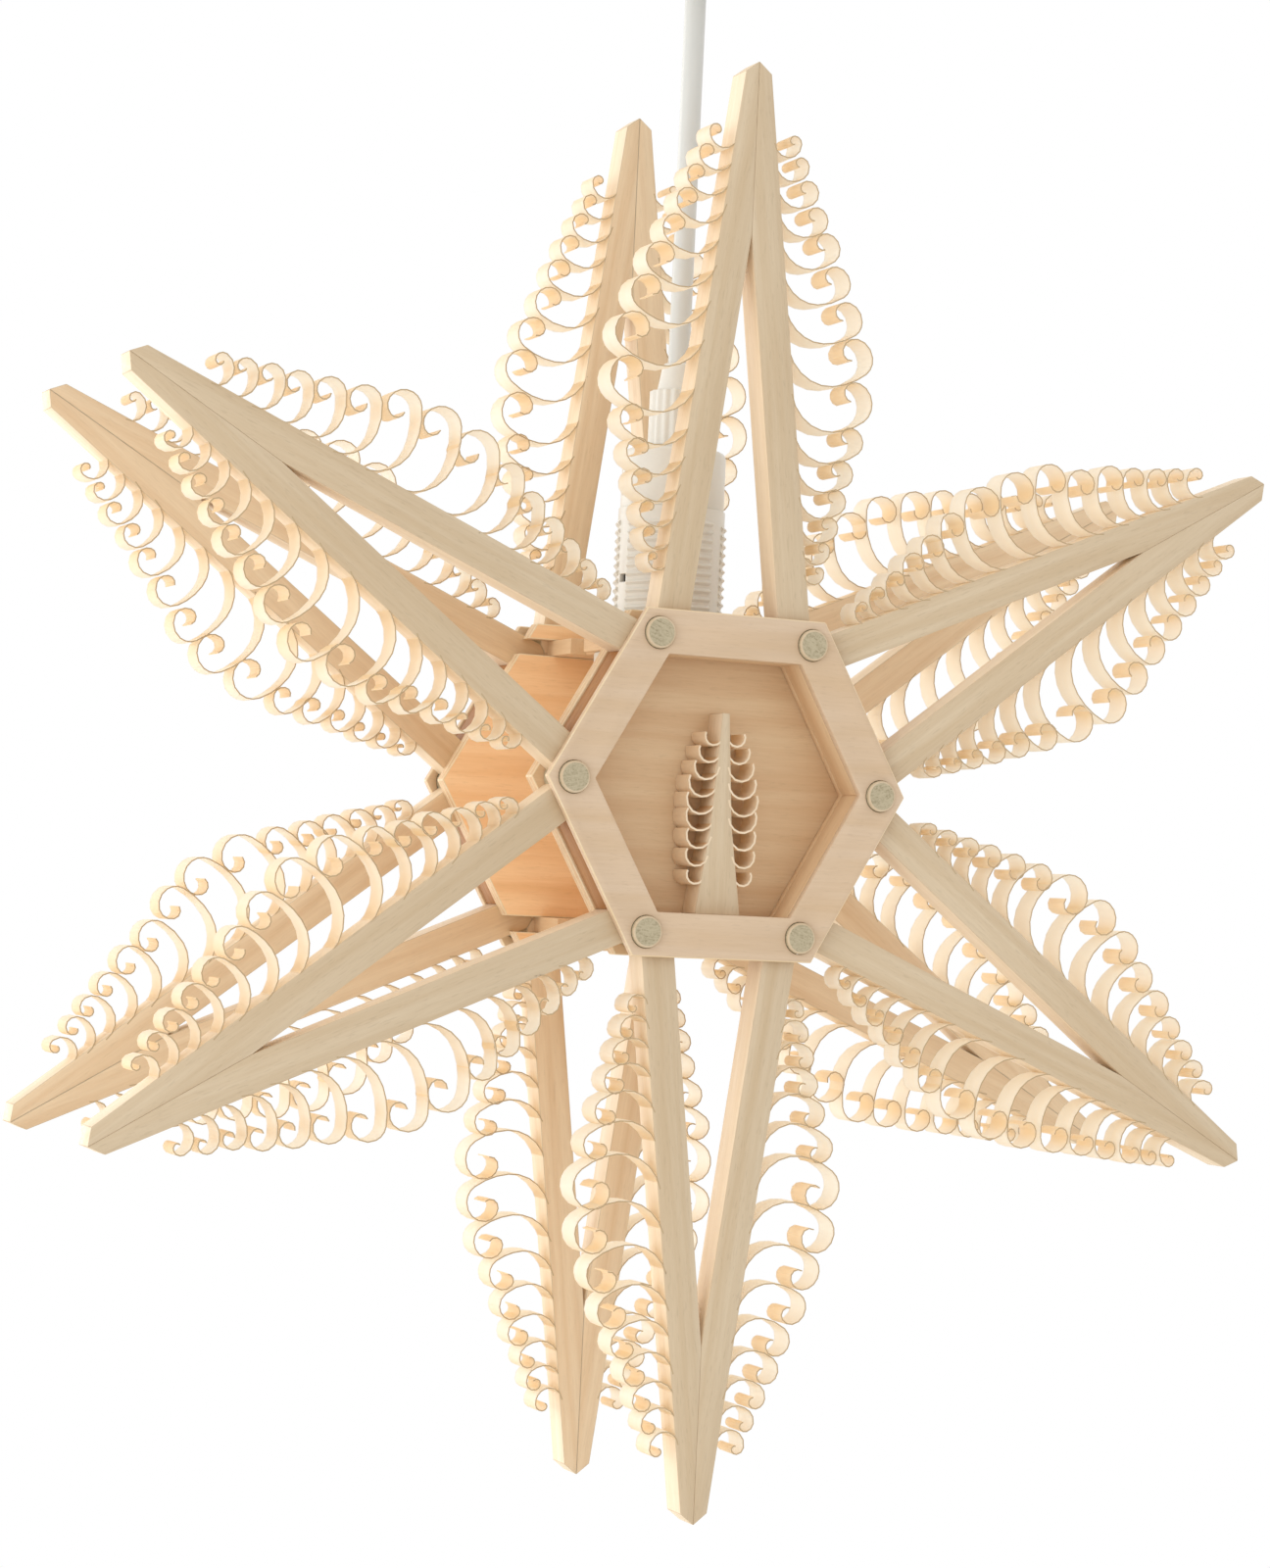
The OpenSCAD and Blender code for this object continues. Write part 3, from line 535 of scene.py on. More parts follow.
def turned(profile, segments=48, closed=False):
    """Shape turned about Z from a profile of radius and height."""
    bm = bmesh.new()
    verts = [bm.verts.new((r, 0, z)) for r, z in profile]
    ends = verts[1:] + verts[:1] if closed else verts[1:]
    geometry = verts + [bm.edges.new(pair) for pair in zip(verts, ends)]
    bmesh.ops.spin(
        bm, geom=geometry, cent=ORIGIN, axis=AXIS_Z, angle=math.tau, steps=segments, use_merge=True
    )
    weld(bm)
    bmesh.ops.recalc_face_normals(bm, faces=bm.faces[:])
    return bm


def drum(radius, low, high, segments=48):
    """Plain round solid between two heights."""
    return turned([(0, low), (radius, low), (radius, high), (0, high)], segments)


def grain_offset(rng):
    """A place of its own in the wood for each part."""
    farthest = 9
    return Vector([rng.uniform(0, farthest) for axis in range(3)])


def lay_grain(bm, along, across, rng):
    """Write each point's place along, across and through the grain."""
    layer = bm.verts.layers.float_vector.new(GRAIN)
    through = along.cross(across)
    offset = grain_offset(rng)
    for vert in bm.verts:
        co = vert.co
        vert[layer] = Vector((co.dot(along), co.dot(across), co.dot(through))) + offset


def mesh_from(bm, name):
    """Mesh with a shape, which is let go."""
    mesh = bpy.data.meshes.new(name)
    bm.to_mesh(mesh)
    bm.free()
    return mesh


def absorb(bm, part):
    """Add a part to a piece and let the part go."""
    mesh = mesh_from(part, "part")
    bm.from_mesh(mesh)
    bpy.data.meshes.remove(mesh)


def new_piece():
    """Empty shape that is ready to hold grain."""
    bm = bmesh.new()
    bm.verts.layers.float_vector.new(GRAIN)
    bm.verts.layers.float.new(RUN)
    return bm


def half_place(side):
    """Where a half lies: its outlines stand upright, and the rear half is the mirror image."""
    place = Matrix.Rotation(math.pi / 2, 4, "X")
    if side == "rear":
        place = Matrix.Scale(-1, 4, AXIS_Y) @ place
    return Matrix.Translation((0, 0, STAR_Z)) @ place


def add_object(name, data):
    """Object at the origin, in the scene."""
    made = bpy.data.objects.new(name, data)
    bpy.context.scene.collection.objects.link(made)
    return made


def show(name, bm, finishes, node, body):
    """Make the finished piece: it stands for its node and rides on its body."""
    bmesh.ops.recalc_face_normals(bm, faces=bm.faces[:])
    for face in bm.faces:
        face.smooth = True
    for edge in bm.edges:
        edge.smooth = edge.calc_face_angle(0) < SHARP
    mesh = mesh_from(bm, name)
    for finish in finishes:
        mesh.materials.append(finish_of(finish))
    piece = add_object(name, mesh)
    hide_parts(node)
    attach(piece, body)


# Bars and curls

# Finishes of a carved piece and their places in it: the sides and the inner faces hold painted light, and
# the cut edges of the bars' ribbons painted shade
BAR_FINISHES = ("bar_side", "ribbon", "bar", "bar_inner", "ribbon_edge")
TREE_FINISHES = ("bar_side", "tree_ribbon", "bar")
SIDE, RIBBON, FACE, INNER, CUT = range(5)

# How far the flats of a ribbon may leave its true curve, and the most that one of them may turn
FLATNESS = 0.12 * MM
FACET = math.radians(40)

# Shape of a curl: shares of its reach, of its step from the curl before it and of what it overhangs
RISE_OF_REACH = 0.48
FOOT_OF_STEP = 0.85
BACK_OF_STEP = 0.61
BACK_OF_OVERHANG = 0.32
HOOK_OF_STEP = 0.46
HOOK_OF_REACH = 0.23
CROWN = math.radians(30)

# Turns that roll up its end, each with its radius as a share of the hook, and how much more they differ
ROLL = ((math.pi / 2, 1), (math.radians(80), 0.7), (math.radians(130), 0.42))
ROLL_PLAY = 5

# Turns of a curl on a small tree, each with its radius as a share of the first one's, and that as a share
# of the reach
TREE_ROLL = ((math.pi / 2, 1), (math.pi / 2, 0.9), (math.pi / 6, 0.6))
RADIUS_OF_REACH = 0.53
TREE_CLEARANCE = 0.3 * MM

# Sideways drift of a ribbon over one of its turns, in millimetres
BAR_DRIFT = 0.12
TREE_DRIFT = 0.1


class BarLine:
    """The right-hand bar of the upper point: u runs from its shoulder to the hub and v out from its edge."""

    def __init__(self, sizes):
        self.width = sizes.bar_width
        self.apex = sizes.star_radius
        self.shoulder = Vector((sizes.tip_half_width, sizes.star_radius - sizes.tip_roof))
        root_half = HUB_R / 2 - sizes.corner_inset
        self.lean = math.atan2(root_half - sizes.tip_half_width, self.shoulder.y - HUB_FLAT)
        self.along = Vector((math.sin(self.lean), -math.cos(self.lean)))
        self.out = direction(self.lean)
        self.root_y = HUB_FLAT - sizes.ring_width + sizes.core_wall
        self.hub_u = (self.shoulder.y - HUB_FLAT) / math.cos(self.lean)
        slope = math.tan(TURN)
        self.corner_u = (self.shoulder.y - slope * self.shoulder.x) / (
            math.cos(self.lean) + slope * math.sin(self.lean)
        )

    def at(self, u, v):
        """Place in the plane of the star."""
        return self.shoulder + u * self.along + v * self.out

    def at_level(self, y, v):
        """Place on the line at a distance v from the edge where it reaches the level y."""
        return self.at((self.shoulder.y + v * self.out.y - y) / math.cos(self.lean), v)

    def outline(self):
        """Corners of the bar, mitred at the seam of its point and at the corner to the next point."""
        seam_u = (self.width * self.out.x - self.shoulder.x) / self.along.x
        return [
            Vector((0, self.apex)),
            Vector((0, self.at(seam_u, -self.width).y)),
            self.at_level(self.root_y, -self.width),
            Vector((self.root_y / math.tan(TURN), self.root_y)),
            self.at(self.corner_u, 0),
            self.shoulder,
        ]


def curl_floors(line, curls):
    """Each curl's floor along the bar, its reach, and its step from the curl before it.

    The reach grows along the bar until the next point limits it, and its outermost place lies
    about a quarter of the reach behind the floor.
    """
    slope = math.tan(TURN / 2 - line.lean)
    floors = []
    b = curls.first
    step = curls.step + curls.open_step * curls.reach
    while b < line.hub_u - curls.hub_plain:
        limit = ((line.corner_u - b) * slope - curls.room) / (1 - slope / 4)
        reach = min(curls.reach + curls.growth * (b - curls.first), curls.longest, limit)
        floors.append((b, reach, step))
        share = curls.close_step if reach == limit else curls.open_step
        step = curls.step + share * reach
        b += step
    return floors


def curl_arcs(reach, step):
    """Foot, lean and arcs of a curl that fills its reach and leans on the curl before it.

    The foot is how far behind its floor a ribbon leaves the bar, and the lean is its angle there.
    Each arc has its turn and its radius.
    """
    rise = RISE_OF_REACH * reach
    over = reach - rise
    foot = min(FOOT_OF_STEP * step, rise)
    lean = math.pi / 2 - 2 * math.atan2(foot, rise)
    back = min(max(BACK_OF_STEP * step, BACK_OF_OVERHANG * over), over)
    tight = (back - (1 - math.cos(CROWN)) * 2 * over) / (2 * math.cos(CROWN) - 1)
    hook = min(HOOK_OF_STEP * step, HOOK_OF_REACH * reach)
    arcs = [
        (math.pi / 2 - lean, rise / math.cos(lean)),
        (CROWN, 2 * over - tight),
        (math.pi / 2 - CROWN, tight),
    ]
    return foot, lean, arcs + [(turn, share * hook) for turn, share in ROLL]


def arc_steps(angle, radius):
    """Number of flats that an arc needs."""
    widest = 2 * math.acos(max(1 - FLATNESS / radius, math.cos(FACET / 2)))
    return math.ceil(angle / widest)


def add_ribbon(bm, start, heading, arcs, levels, drift, rng):
    """Spin an edge through the arcs, and write its grain along the ribbon."""
    first = len(bm.verts)
    verts = [bm.verts.new((start.x, start.y, level)) for level in levels]
    geometry = verts + [bm.edges.new(verts)]
    place = start.copy()
    for angle, radius in arcs:
        steps = arc_steps(angle, radius)
        centre = place + radius * Vector((-heading.y, heading.x))
        spun = bmesh.ops.spin(
            bm,
            geom=geometry,
            cent=(centre.x, centre.y, 0),
            axis=AXIS_Z,
            dvec=(0, 0, drift / steps),
            angle=angle,
            steps=steps,
        )
        geometry = spun["geom_last"]
        rotation = Matrix.Rotation(angle, 2)
        place = centre + rotation @ (place - centre)
        heading = rotation @ heading
    bm.verts.ensure_lookup_table()
    grain_layer = bm.verts.layers.float_vector[GRAIN]
    run_layer = bm.verts.layers.float[RUN]
    offset = grain_offset(rng)
    run = 0.0
    whole = sum(angle * radius for angle, radius in arcs)
    before = start
    for i in range(first, len(bm.verts), len(levels)):
        now = bm.verts[i].co.xy
        run += (now - before).length
        before = now
        for vert in bm.verts[i : i + len(levels)]:
            vert[grain_layer] = Vector((run, vert.co.z, 0)) + offset
            vert[run_layer] = run / whole


def thickened(bm, thickness, edge_finish):
    """Give ribbons their thickness, their finish, and one for the cut edges that look along Z."""
    upright = 0.9
    bmesh.ops.solidify(bm, geom=bm.faces[:], thickness=thickness)
    for face in bm.faces:
        face.normal_update()
        face.material_index = edge_finish if abs(face.normal.z) > upright else RIBBON
    return bm


def bar_ribbons(line, curls, levels, rng):
    """All the curls of one bar, each a little different from the next."""
    bm = new_piece()
    for b, reach, step in curl_floors(line, curls):
        foot, lean, arcs = curl_arcs(reach * rng.uniform(1 - curls.play, 1), step)
        for i, (angle, radius) in enumerate(arcs):
            spread = ROLL_PLAY * curls.play if i >= len(arcs) - len(ROLL) else curls.play
            arcs[i] = (angle * rng.uniform(1 - spread, 1 + spread / 2), radius)
        start = line.at(b - foot, -curls.bite)
        heading = Matrix.Rotation(lean, 2) @ line.along
        drift = rng.uniform(-BAR_DRIFT, BAR_DRIFT) * MM
        add_ribbon(bm, start, heading, arcs, levels, drift, rng)
    return thickened(bm, curls.thickness, CUT)


class STAR_OT_bars(bpy.types.Operator):
    """Carve the bars of both halves, with their shaved curls"""

    bl_idname = "star.bars"
    bl_label = "Bars and curls"

    def execute(self, context):
        sizes = context.scene.star_sizes
        curls = context.scene.star_curls
        line = BarLine(sizes)
        rng = random.Random(curls.seed)
        for side in SIDES:
            for n in range(2 * POINTS):
                piece = new_piece()
                timber = prism([line.outline()], CORE_Y, RING_Y, sizes.bar_round, FACE)
                mark_level(timber, RING_Y, FACE)
                # The inner face gets the warmer finish, with its painted bounce light
                mark_level(timber, CORE_Y, INNER)
                lay_grain(timber, line.along.to_3d(), line.out.to_3d(), rng)
                absorb(piece, timber)
                absorb(piece, bar_ribbons(line, curls, (CORE_Y, RING_Y), rng))
                place = half_place(side) @ Matrix.Rotation(-TURN * (n // 2), 4, "Z")
                if n % 2:
                    place = place @ Matrix.Scale(-1, 4, AXIS_X)
                move(piece, place)
                number = f"{n + 1:02d}"
                node = f"{side}_bar_{number}"
                show(f"carved_bar_{side}_{number}", piece, BAR_FINISHES, node, "star")
        return {"FINISHED"}


class STAR_OT_trees(bpy.types.Operator):
    """Carve the small tree that stands in each recess"""

    bl_idname = "star.trees"
    bl_label = "Half trees"

    def half_width(self, tree, down):
        """Half the width of the post at a distance from its top."""
        if down < tree.knee:
            share = down / tree.knee
            return (tree.top_width + (tree.knee_width - tree.top_width) * share) / 2
        share = (down - tree.knee) / (tree.height - tree.knee)
        return (tree.knee_width + (tree.foot_width - tree.knee_width) * share) / 2

    def ribbons(self, tree, curls, top, rng):
        """The curls of the right-hand side, which are longest halfway down."""
        bm = new_piece()
        levels = (FLOOR_Y + TREE_CLEARANCE, TREE_Y)
        for i in range(tree.curls):
            down = tree.first + tree.step * i
            reach = tree.reach * (0.5 + 0.5 * math.sin(math.pi * (i + 0.5) / tree.curls))
            radius = RADIUS_OF_REACH * reach * rng.uniform(1 - curls.play, 1)
            arcs = [(turn, share * radius) for turn, share in TREE_ROLL]
            slope = (self.half_width(tree, down + MM) - self.half_width(tree, down - MM)) / (2 * MM)
            along = Vector((slope, -1)).normalized()
            out = Vector((-along.y, along.x))
            foot = Vector((self.half_width(tree, down), top - down))
            start = foot - radius * along - curls.bite * out
            drift = rng.uniform(-TREE_DRIFT, TREE_DRIFT) * MM
            add_ribbon(bm, start, along, arcs, levels, drift, rng)
        # The cut edges take the bars' side finish, with its painted light
        return thickened(bm, tree.thickness, SIDE)

    def execute(self, context):
        sizes = context.scene.star_sizes
        tree = context.scene.star_trees
        curls = context.scene.star_curls
        rng = random.Random(curls.seed + 1)
        top = sizes.ring_width - HUB_FLAT + tree.height
        right = [Vector((self.half_width(tree, d), top - d)) for d in (0, tree.knee, tree.height)]
        left = [Vector((-p.x, p.y)) for p in right]
        for side in SIDES:
            piece = new_piece()
            post = prism([left + right[::-1]], FLOOR_Y, TREE_Y, sizes.bar_round, FACE)
            mark_level(post, TREE_Y, FACE)
            lay_grain(post, AXIS_Y, AXIS_X, rng)
            absorb(piece, post)
            for hand in (1, -1):
                ribbons = self.ribbons(tree, curls, top, rng)
                move(ribbons, Matrix.Scale(hand, 4, AXIS_X))
                absorb(piece, ribbons)
            move(piece, half_place(side))
            show(f"carved_tree_{side}", piece, TREE_FINISHES, f"{side}_half_tree", "star")
        return {"FINISHED"}


# Hub

# Places of a hub piece's second and third finish
EDGE = 1
BACK = 2


def hexagon(flat):
    """Corners of a hexagon with corners at its sides, from its distance to a flat."""
    radius = flat / math.cos(TURN / 2)
    return [Vector((radius * math.cos(TURN * k), radius * math.sin(TURN * k))) for k in range(POINTS)]


def frame_sides(outer_flat, inner_flat):
    """The six mitred sides of a hexagonal frame."""
    outer = hexagon(outer_flat)
    inner = hexagon(inner_flat)
    after = [(k + 1) % POINTS for k in range(POINTS)]
    return [[inner[k], outer[k], outer[after[k]], inner[after[k]]] for k in range(POINTS)]


def ring_sides(outer_flat, inner_flat, hole_at, hole_r):
    """The six mitred sides of the face ring, with half of a plug's hole at each end."""
    steps = 20
    sides = []
    for k, (inner, outer, next_outer, next_inner) in enumerate(frame_sides(outer_flat, inner_flat)):
        holes = []
        for seam, first in ((TURN * k, math.pi), (TURN * (k + 1), 0)):
            centre = hole_at * direction(seam)
            turns = [seam + first - math.pi * i / steps for i in range(steps + 1)]
            holes.append([centre + hole_r * direction(turn) for turn in turns])
        sides.append([inner] + holes[0] + [outer, next_outer] + holes[1] + [next_inner])
    return sides


def across_flats(point):
    """Distance from the centre of the hub, measured square to the side that a point lies at."""
    sides = [TURN * k for k in range(POINTS)]
    return max(point.x * math.sin(side) + point.y * math.cos(side) for side in sides)


def plain_within(bm, flat):
    """Give the faces inside a hexagon the plain finish, edges among them."""
    for face in bm.faces:
        if across_flats(face.calc_center_median()) < flat:
            face.material_index = 0


class STAR_OT_hubs(bpy.types.Operator):
    """Build the hub of each half: face ring, core, plate and corner plugs"""

    bl_idname = "star.hubs"
    bl_label = "Hubs"

    def ring(self, sizes, rng):
        """Six mitred boards with a round hole at each seam."""
        hole_r = sizes.plug_diameter / 2 + FIT
        sides = ring_sides(HUB_FLAT, HUB_FLAT - sizes.ring_width, HUB_R - sizes.plug_inset, hole_r)
        piece = prism(sides, RING_Y, FACE_Y, sizes.edge_round, EDGE)
        # The painted highlight stays on the outer edges; the inner ones keep the plain finish
        plain_within(piece, HUB_FLAT - 2 * sizes.edge_round)
        lay_grain(piece, AXIS_X, AXIS_Y, rng)
        return piece

    def core(self, sizes, rng):
        """Six mitred walls round the recess, and a block in each side between the roots of two bars."""
        line = BarLine(sizes)
        piece = new_piece()
        flat = HUB_FLAT - sizes.core_inset * math.cos(TURN / 2)
        low = line.at_level(line.root_y, -line.width)
        high = line.at_level(flat, -line.width)
        block = [Vector((-low.x, low.y)), low, high, Vector((-high.x, high.y))]
        for k, wall in enumerate(frame_sides(line.root_y, HUB_FLAT - sizes.ring_width)):
            part = prism([wall], CORE_Y, RING_Y, sizes.edge_round / 2)
            lay_grain(part, (wall[2] - wall[1]).normalized().to_3d(), AXIS_Z, rng)
            absorb(piece, part)
            part = prism([block], CORE_Y, RING_Y, sizes.edge_round)
            # The blocks' sides take the core finish, with its painted shade
            for face in part.faces:
                face.material_index = EDGE
            lay_grain(part, AXIS_X, AXIS_Z, rng)
            move(part, Matrix.Rotation(TURN * k, 4, "Z"))
            absorb(piece, part)
        return piece

    def plate(self, sizes, holder, rng):
        """Panel with four slots that are open at its slanted edges, under a rim round the recess."""
        low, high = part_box("top_board")
        slot_low = low.z - STAR_Z
        slot_high = high.z - STAR_Z
        quarter = [
            (HUB_R - slot_low / math.tan(TURN), slot_low),
            (holder.tenon_start, slot_low),
            (holder.tenon_start, slot_high),
            (HUB_R - slot_high / math.tan(TURN), slot_high),
            (HUB_R / 2, HUB_FLAT),
        ]
        upper = [(HUB_R, 0)] + quarter + mirrored(quarter)
        recess = hexagon(HUB_FLAT - sizes.ring_width)
        half_rim = upper + [(-HUB_R, 0)] + [tuple(recess[k]) for k in (3, 2, 1, 0)]
        outline = upper + [(-x, -y) for x, y in upper]
        panel = prism([outline], PLATE_Y, FLOOR_Y, sizes.edge_round, EDGE)
        # The inner face gets the orange finish, with its painted bounce light
        mark_level(panel, PLATE_Y, BACK)
        rim = prism([half_rim, [(-x, -y) for x, y in half_rim]], FLOOR_Y, CORE_Y, sizes.edge_round, EDGE)
        # The painted highlight stays off the edges round the recess
        plain_within(rim, HUB_FLAT - sizes.ring_width + sizes.edge_round)
        piece = new_piece()
        for ply in (panel, rim):
            lay_grain(ply, AXIS_X, AXIS_Y, rng)
            absorb(piece, ply)
        return piece

    def plugs(self, sizes, rng):
        """Six dowels with chamfered ends that are a little dished, and feet that stop inside the bars."""
        piece = new_piece()
        radius = sizes.plug_diameter / 2
        height = PLUG_Y - CORE_Y
        chamfer = 0.5 * MM
        dish = 0.15 * MM
        foot = 0.3 * MM
        most_turn = 0.5
        profile = [
            (0, foot),
            (radius, foot),
            (radius, height - chamfer),
            (radius - 0.15 * chamfer, height - 0.4 * chamfer),
            (radius - 0.5 * chamfer, height - 0.1 * chamfer),
            (radius - chamfer, height),
            (radius - 2 * chamfer, height - 0.4 * dish),
            (0.4 * radius, height - dish),
            (0, height - dish),
        ]
        for k in range(POINTS):
            part = turned(profile, segments=40)
            # The chamfer takes the lighter bar finish, a painted highlight round the plug's end
            for face in part.faces:
                centre = face.calc_center_median()
                if centre.z > height - chamfer and centre.xy.length > radius - chamfer:
                    face.material_index = EDGE
            turn = rng.uniform(-most_turn, most_turn)
            lay_grain(part, direction(turn).to_3d(), AXIS_Z, rng)
            centre = (HUB_R - sizes.plug_inset) * direction(TURN * k)
            move(part, Matrix.Translation((*centre, CORE_Y)))
            absorb(piece, part)
        return piece

    def execute(self, context):
        sizes = context.scene.star_sizes
        holder = context.scene.star_holder
        rng = random.Random(context.scene.star_curls.seed + 2)
        for side in SIDES:
            ring = self.ring(sizes, rng)
            core = self.core(sizes, rng)
            plate = self.plate(sizes, holder, rng)
            plugs = self.plugs(sizes, rng)
            pieces = (
                ("face_ring", ring, ("ring", "edge"), "ring", "ring_wood"),
                ("recess_frame", core, ("panel", "core"), "core", "panel_wood"),
                ("hub_plate", plate, ("panel", "edge", "panel_inner"), "plate", "panel_wood"),
                ("corner_plugs", plugs, ("plug", "bar"), "plugs", "plug_wood"),
            )
            for name, piece, finishes, node, slot in pieces:
                move(piece, half_place(side))
                show(f"{name}_{side}", piece, finishes, f"{side}_{node}", "star")
        return {"FINISHED"}


class STAR_OT_boards(bpy.types.Operator):
    """Build the two boards between the plates"""

    bl_idname = "star.boards"
    bl_label = "Boards"

    def side_outline(self, half_width, holder):
        """Right-hand edge of a board from its rear end to its front end, with its tenons and notches."""
        notch_in = half_width - holder.notch_depth
        near = holder.notch_place - holder.notch_length / 2
        far = holder.notch_place + holder.notch_length / 2
        edge = [
            (half_width, near),
            (notch_in, near),
            (notch_in, far),
            (half_width, far),
            (half_width, CORE_Y),
            (holder.tenon_start, CORE_Y),
            (holder.tenon_start, PLATE_Y),
            (0, PLATE_Y),
        ]
        return [(x, -y) for x, y in reversed(edge)] + edge

    def execute(self, context):
        holder = context.scene.star_holder
        softness = context.scene.star_sizes.edge_round
        rng = random.Random(context.scene.star_curls.seed + 3)
        sleeve_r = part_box("socket_sleeve")[1].x + FIT
        steps = 24
        turns = [math.pi / 2 - math.pi * k / steps for k in range(steps + 1)]
        bore = [(sleeve_r * math.cos(turn), sleeve_r * math.sin(turn)) for turn in turns]
        for name, node, hole in (("upper_board", "top_board", bore), ("lower_board", "bottom_board", [])):
            low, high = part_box(node)
            right = self.side_outline(high.x, holder) + hole
            board = prism([right, mirrored(right)], low.z, high.z, softness)
            lay_grain(board, AXIS_Y, AXIS_X, rng)
            show(name, board, ("panel",), node, "star")
        return {"FINISHED"}


# Lamp holder

# Turns of the smooth strips, in degrees, and the size of the window in the first of them
STRIP_TURNS = (-176, -56, 64)
WINDOW_WIDTH = 3 * MM
WINDOW_HEIGHT = 2 * MM


def add_threads(bm, holder, low, high, root_r, crest_r):
    """Add the turns of a thread between smooth strips, each a ridge that climbs as it goes round."""
    pitch = holder.thread_pitch
    strip = holder.strip_width / crest_r
    sector = math.tau / len(STRIP_TURNS) - strip
    climb = pitch * sector / math.tau
    steps = 14
    first_ridge = 0.2
    root_depth = 0.2 * MM
    sunk = root_r - root_depth
    profile = ((sunk, 0), (crest_r, 0.4), (crest_r, 0.5), (sunk, 0.9))
    for strip_turn in STRIP_TURNS:
        start = math.radians(strip_turn) + strip / 2
        for i in range(int((high - low) / pitch) - 1):
            z = low + (i + first_ridge) * pitch
            part = bmesh.new()
            corners = [
                part.verts.new((r * math.cos(start), r * math.sin(start), z + rise * pitch))
                for r, rise in profile
            ]
            ridge = part.faces.new(corners)
            bmesh.ops.spin(
                part,
                geom=corners + ridge.edges[:] + [ridge],
                cent=ORIGIN,
                axis=AXIS_Z,
                dvec=(0, 0, climb / steps),
                angle=sector,
                steps=steps,
            )
            absorb(bm, part)


class STAR_OT_holder(bpy.types.Operator):
    """Build the lamp holder: threaded sleeve, cap, cord grip and ring nuts"""

    bl_idname = "star.holder"
    bl_label = "Lamp holder"

    def sleeve(self, holder):
        """Tube with a latch window, and a thread that three smooth strips interrupt."""
        low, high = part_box("socket_sleeve")
        crest_r = high.x
        root_r = crest_r - holder.thread_depth
        bore_r = holder.sleeve_bore / 2
        window_z = high.z - holder.window_drop
        window_turn = WINDOW_WIDTH / root_r
        heights = (low.z, window_z - WINDOW_HEIGHT / 2, window_z + WINDOW_HEIGHT / 2, high.z)
        profile = [(root_r, z) for z in heights] + [(bore_r, z) for z in reversed(heights)]
        bm = bmesh.new()
        verts = [bm.verts.new((r, 0, z)) for r, z in profile]
        geometry = verts + [bm.edges.new(pair) for pair in zip(verts, verts[1:] + verts[:1])]
        for angle, steps in ((window_turn, 2), (math.tau - window_turn, 62)):
            spun = bmesh.ops.spin(bm, geom=geometry, cent=ORIGIN, axis=AXIS_Z, angle=angle, steps=steps)
            geometry = spun["geom_last"]
        weld(bm)
        opened = []
        for face in bm.faces:
            centre = face.calc_center_median()
            turn = math.atan2(centre.y, centre.x)
            if 0 < turn < window_turn and abs(centre.z - window_z) < WINDOW_HEIGHT / 4:
                opened.append(face)
        bmesh.ops.delete(bm, geom=opened, context="FACES")
        bmesh.ops.bridge_loops(bm, edges=[e for e in bm.edges if e.is_boundary])
        soften(bm, softness=0.25 * MM)
        start = math.radians(STRIP_TURNS[0]) - window_turn / 2
        move(bm, Matrix.Rotation(start, 4, "Z"))
        add_threads(bm, holder, low.z, high.z, root_r, crest_r)
        return bm

    def cap(self):
        """Turned cap with a rounded upper edge over a short skirt."""
        low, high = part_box("socket_cap")
        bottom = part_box("socket_sleeve")[1].z
        edge = 1.5 * MM
        hole = 3.4 * MM
        wall = 1.8 * MM
        profile = [
            (hole, high.z),
            (hole, high.z - wall),
            (high.x - 2 * wall, high.z - wall),
            (high.x - 2 * wall, low.z),
            (high.x - wall, low.z),
            (high.x - wall, bottom),
            (high.x, bottom),
            (high.x, high.z - edge),
            (high.x - 0.3 * edge, high.z - 0.3 * edge),
            (high.x - edge, high.z),
        ]
        bm = turned(profile, segments=64, closed=True)
        soften(bm, softness=0.3 * MM)
        return bm

    def grip(self, holder):
        """Ribbed barrel with a collar at its foot and a tapered end."""
        low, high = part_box("cord_grip")
        ribs = 18
        depths = (0.6 * MM, 0.25 * MM, 0, 0.25 * MM)
        edge = 0.2 * MM
        lip = 0.4 * MM
        collar_height = 1 * MM
        waist = 0.45
        rib_low = low.z + collar_height
        rib_high = high.z - holder.grip_taper
        bm = bmesh.new()
        bmesh.ops.create_circle(bm, cap_ends=True, segments=ribs * len(depths), radius=high.x)
        for k, vert in enumerate(bm.verts):
            vert.co *= 1 - depths[k % len(depths)] / high.x
        move(bm, Matrix.Translation((0, 0, rib_low)))
        extrude(bm, bm.faces[:], rib_high - rib_low)
        soften(bm, edge, segments=1)
        collar = drum(high.x, low.z, rib_low)
        soften(collar, edge)
        absorb(bm, collar)
        end_r = holder.grip_end / 2
        foot_r = high.x - 3 * depths[0]
        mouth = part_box("lamp_cord")[1].x
        taper = [
            (0, rib_high),
            (foot_r, rib_high),
            ((1 - waist) * foot_r + waist * end_r, rib_high + 0.4 * holder.grip_taper),
            (end_r, high.z - lip),
            (end_r - lip, high.z),
            (mouth, high.z),
            (mouth, high.z - edge),
            (0, high.z - edge),
        ]
        absorb(bm, turned(taper))
        return bm

    def nut(self, node):
        """Ring nut with finger grips round its rim."""
        low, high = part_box(node)
        bore_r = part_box("socket_sleeve")[1].x + FIT
        grips = 16
        across = 8
        depth = 1.2 * MM
        bm = bmesh.new()
        rims = []
        for radius in (high.x, bore_r):
            made = bmesh.ops.create_circle(bm, cap_ends=False, segments=grips * across, radius=radius)
            rims.append(made["verts"])
        for k, vert in enumerate(rims[0]):
            dip = max(0, math.cos(math.tau * k / across)) ** 2
            vert.co *= 1 - dip * depth / high.x
        bmesh.ops.bridge_loops(bm, edges=bm.edges[:])
        extrude(bm, bm.faces[:], high.z - low.z)
        move(bm, Matrix.Translation((0, 0, low.z)))
        soften(bm, softness=0.4 * MM)
        return bm

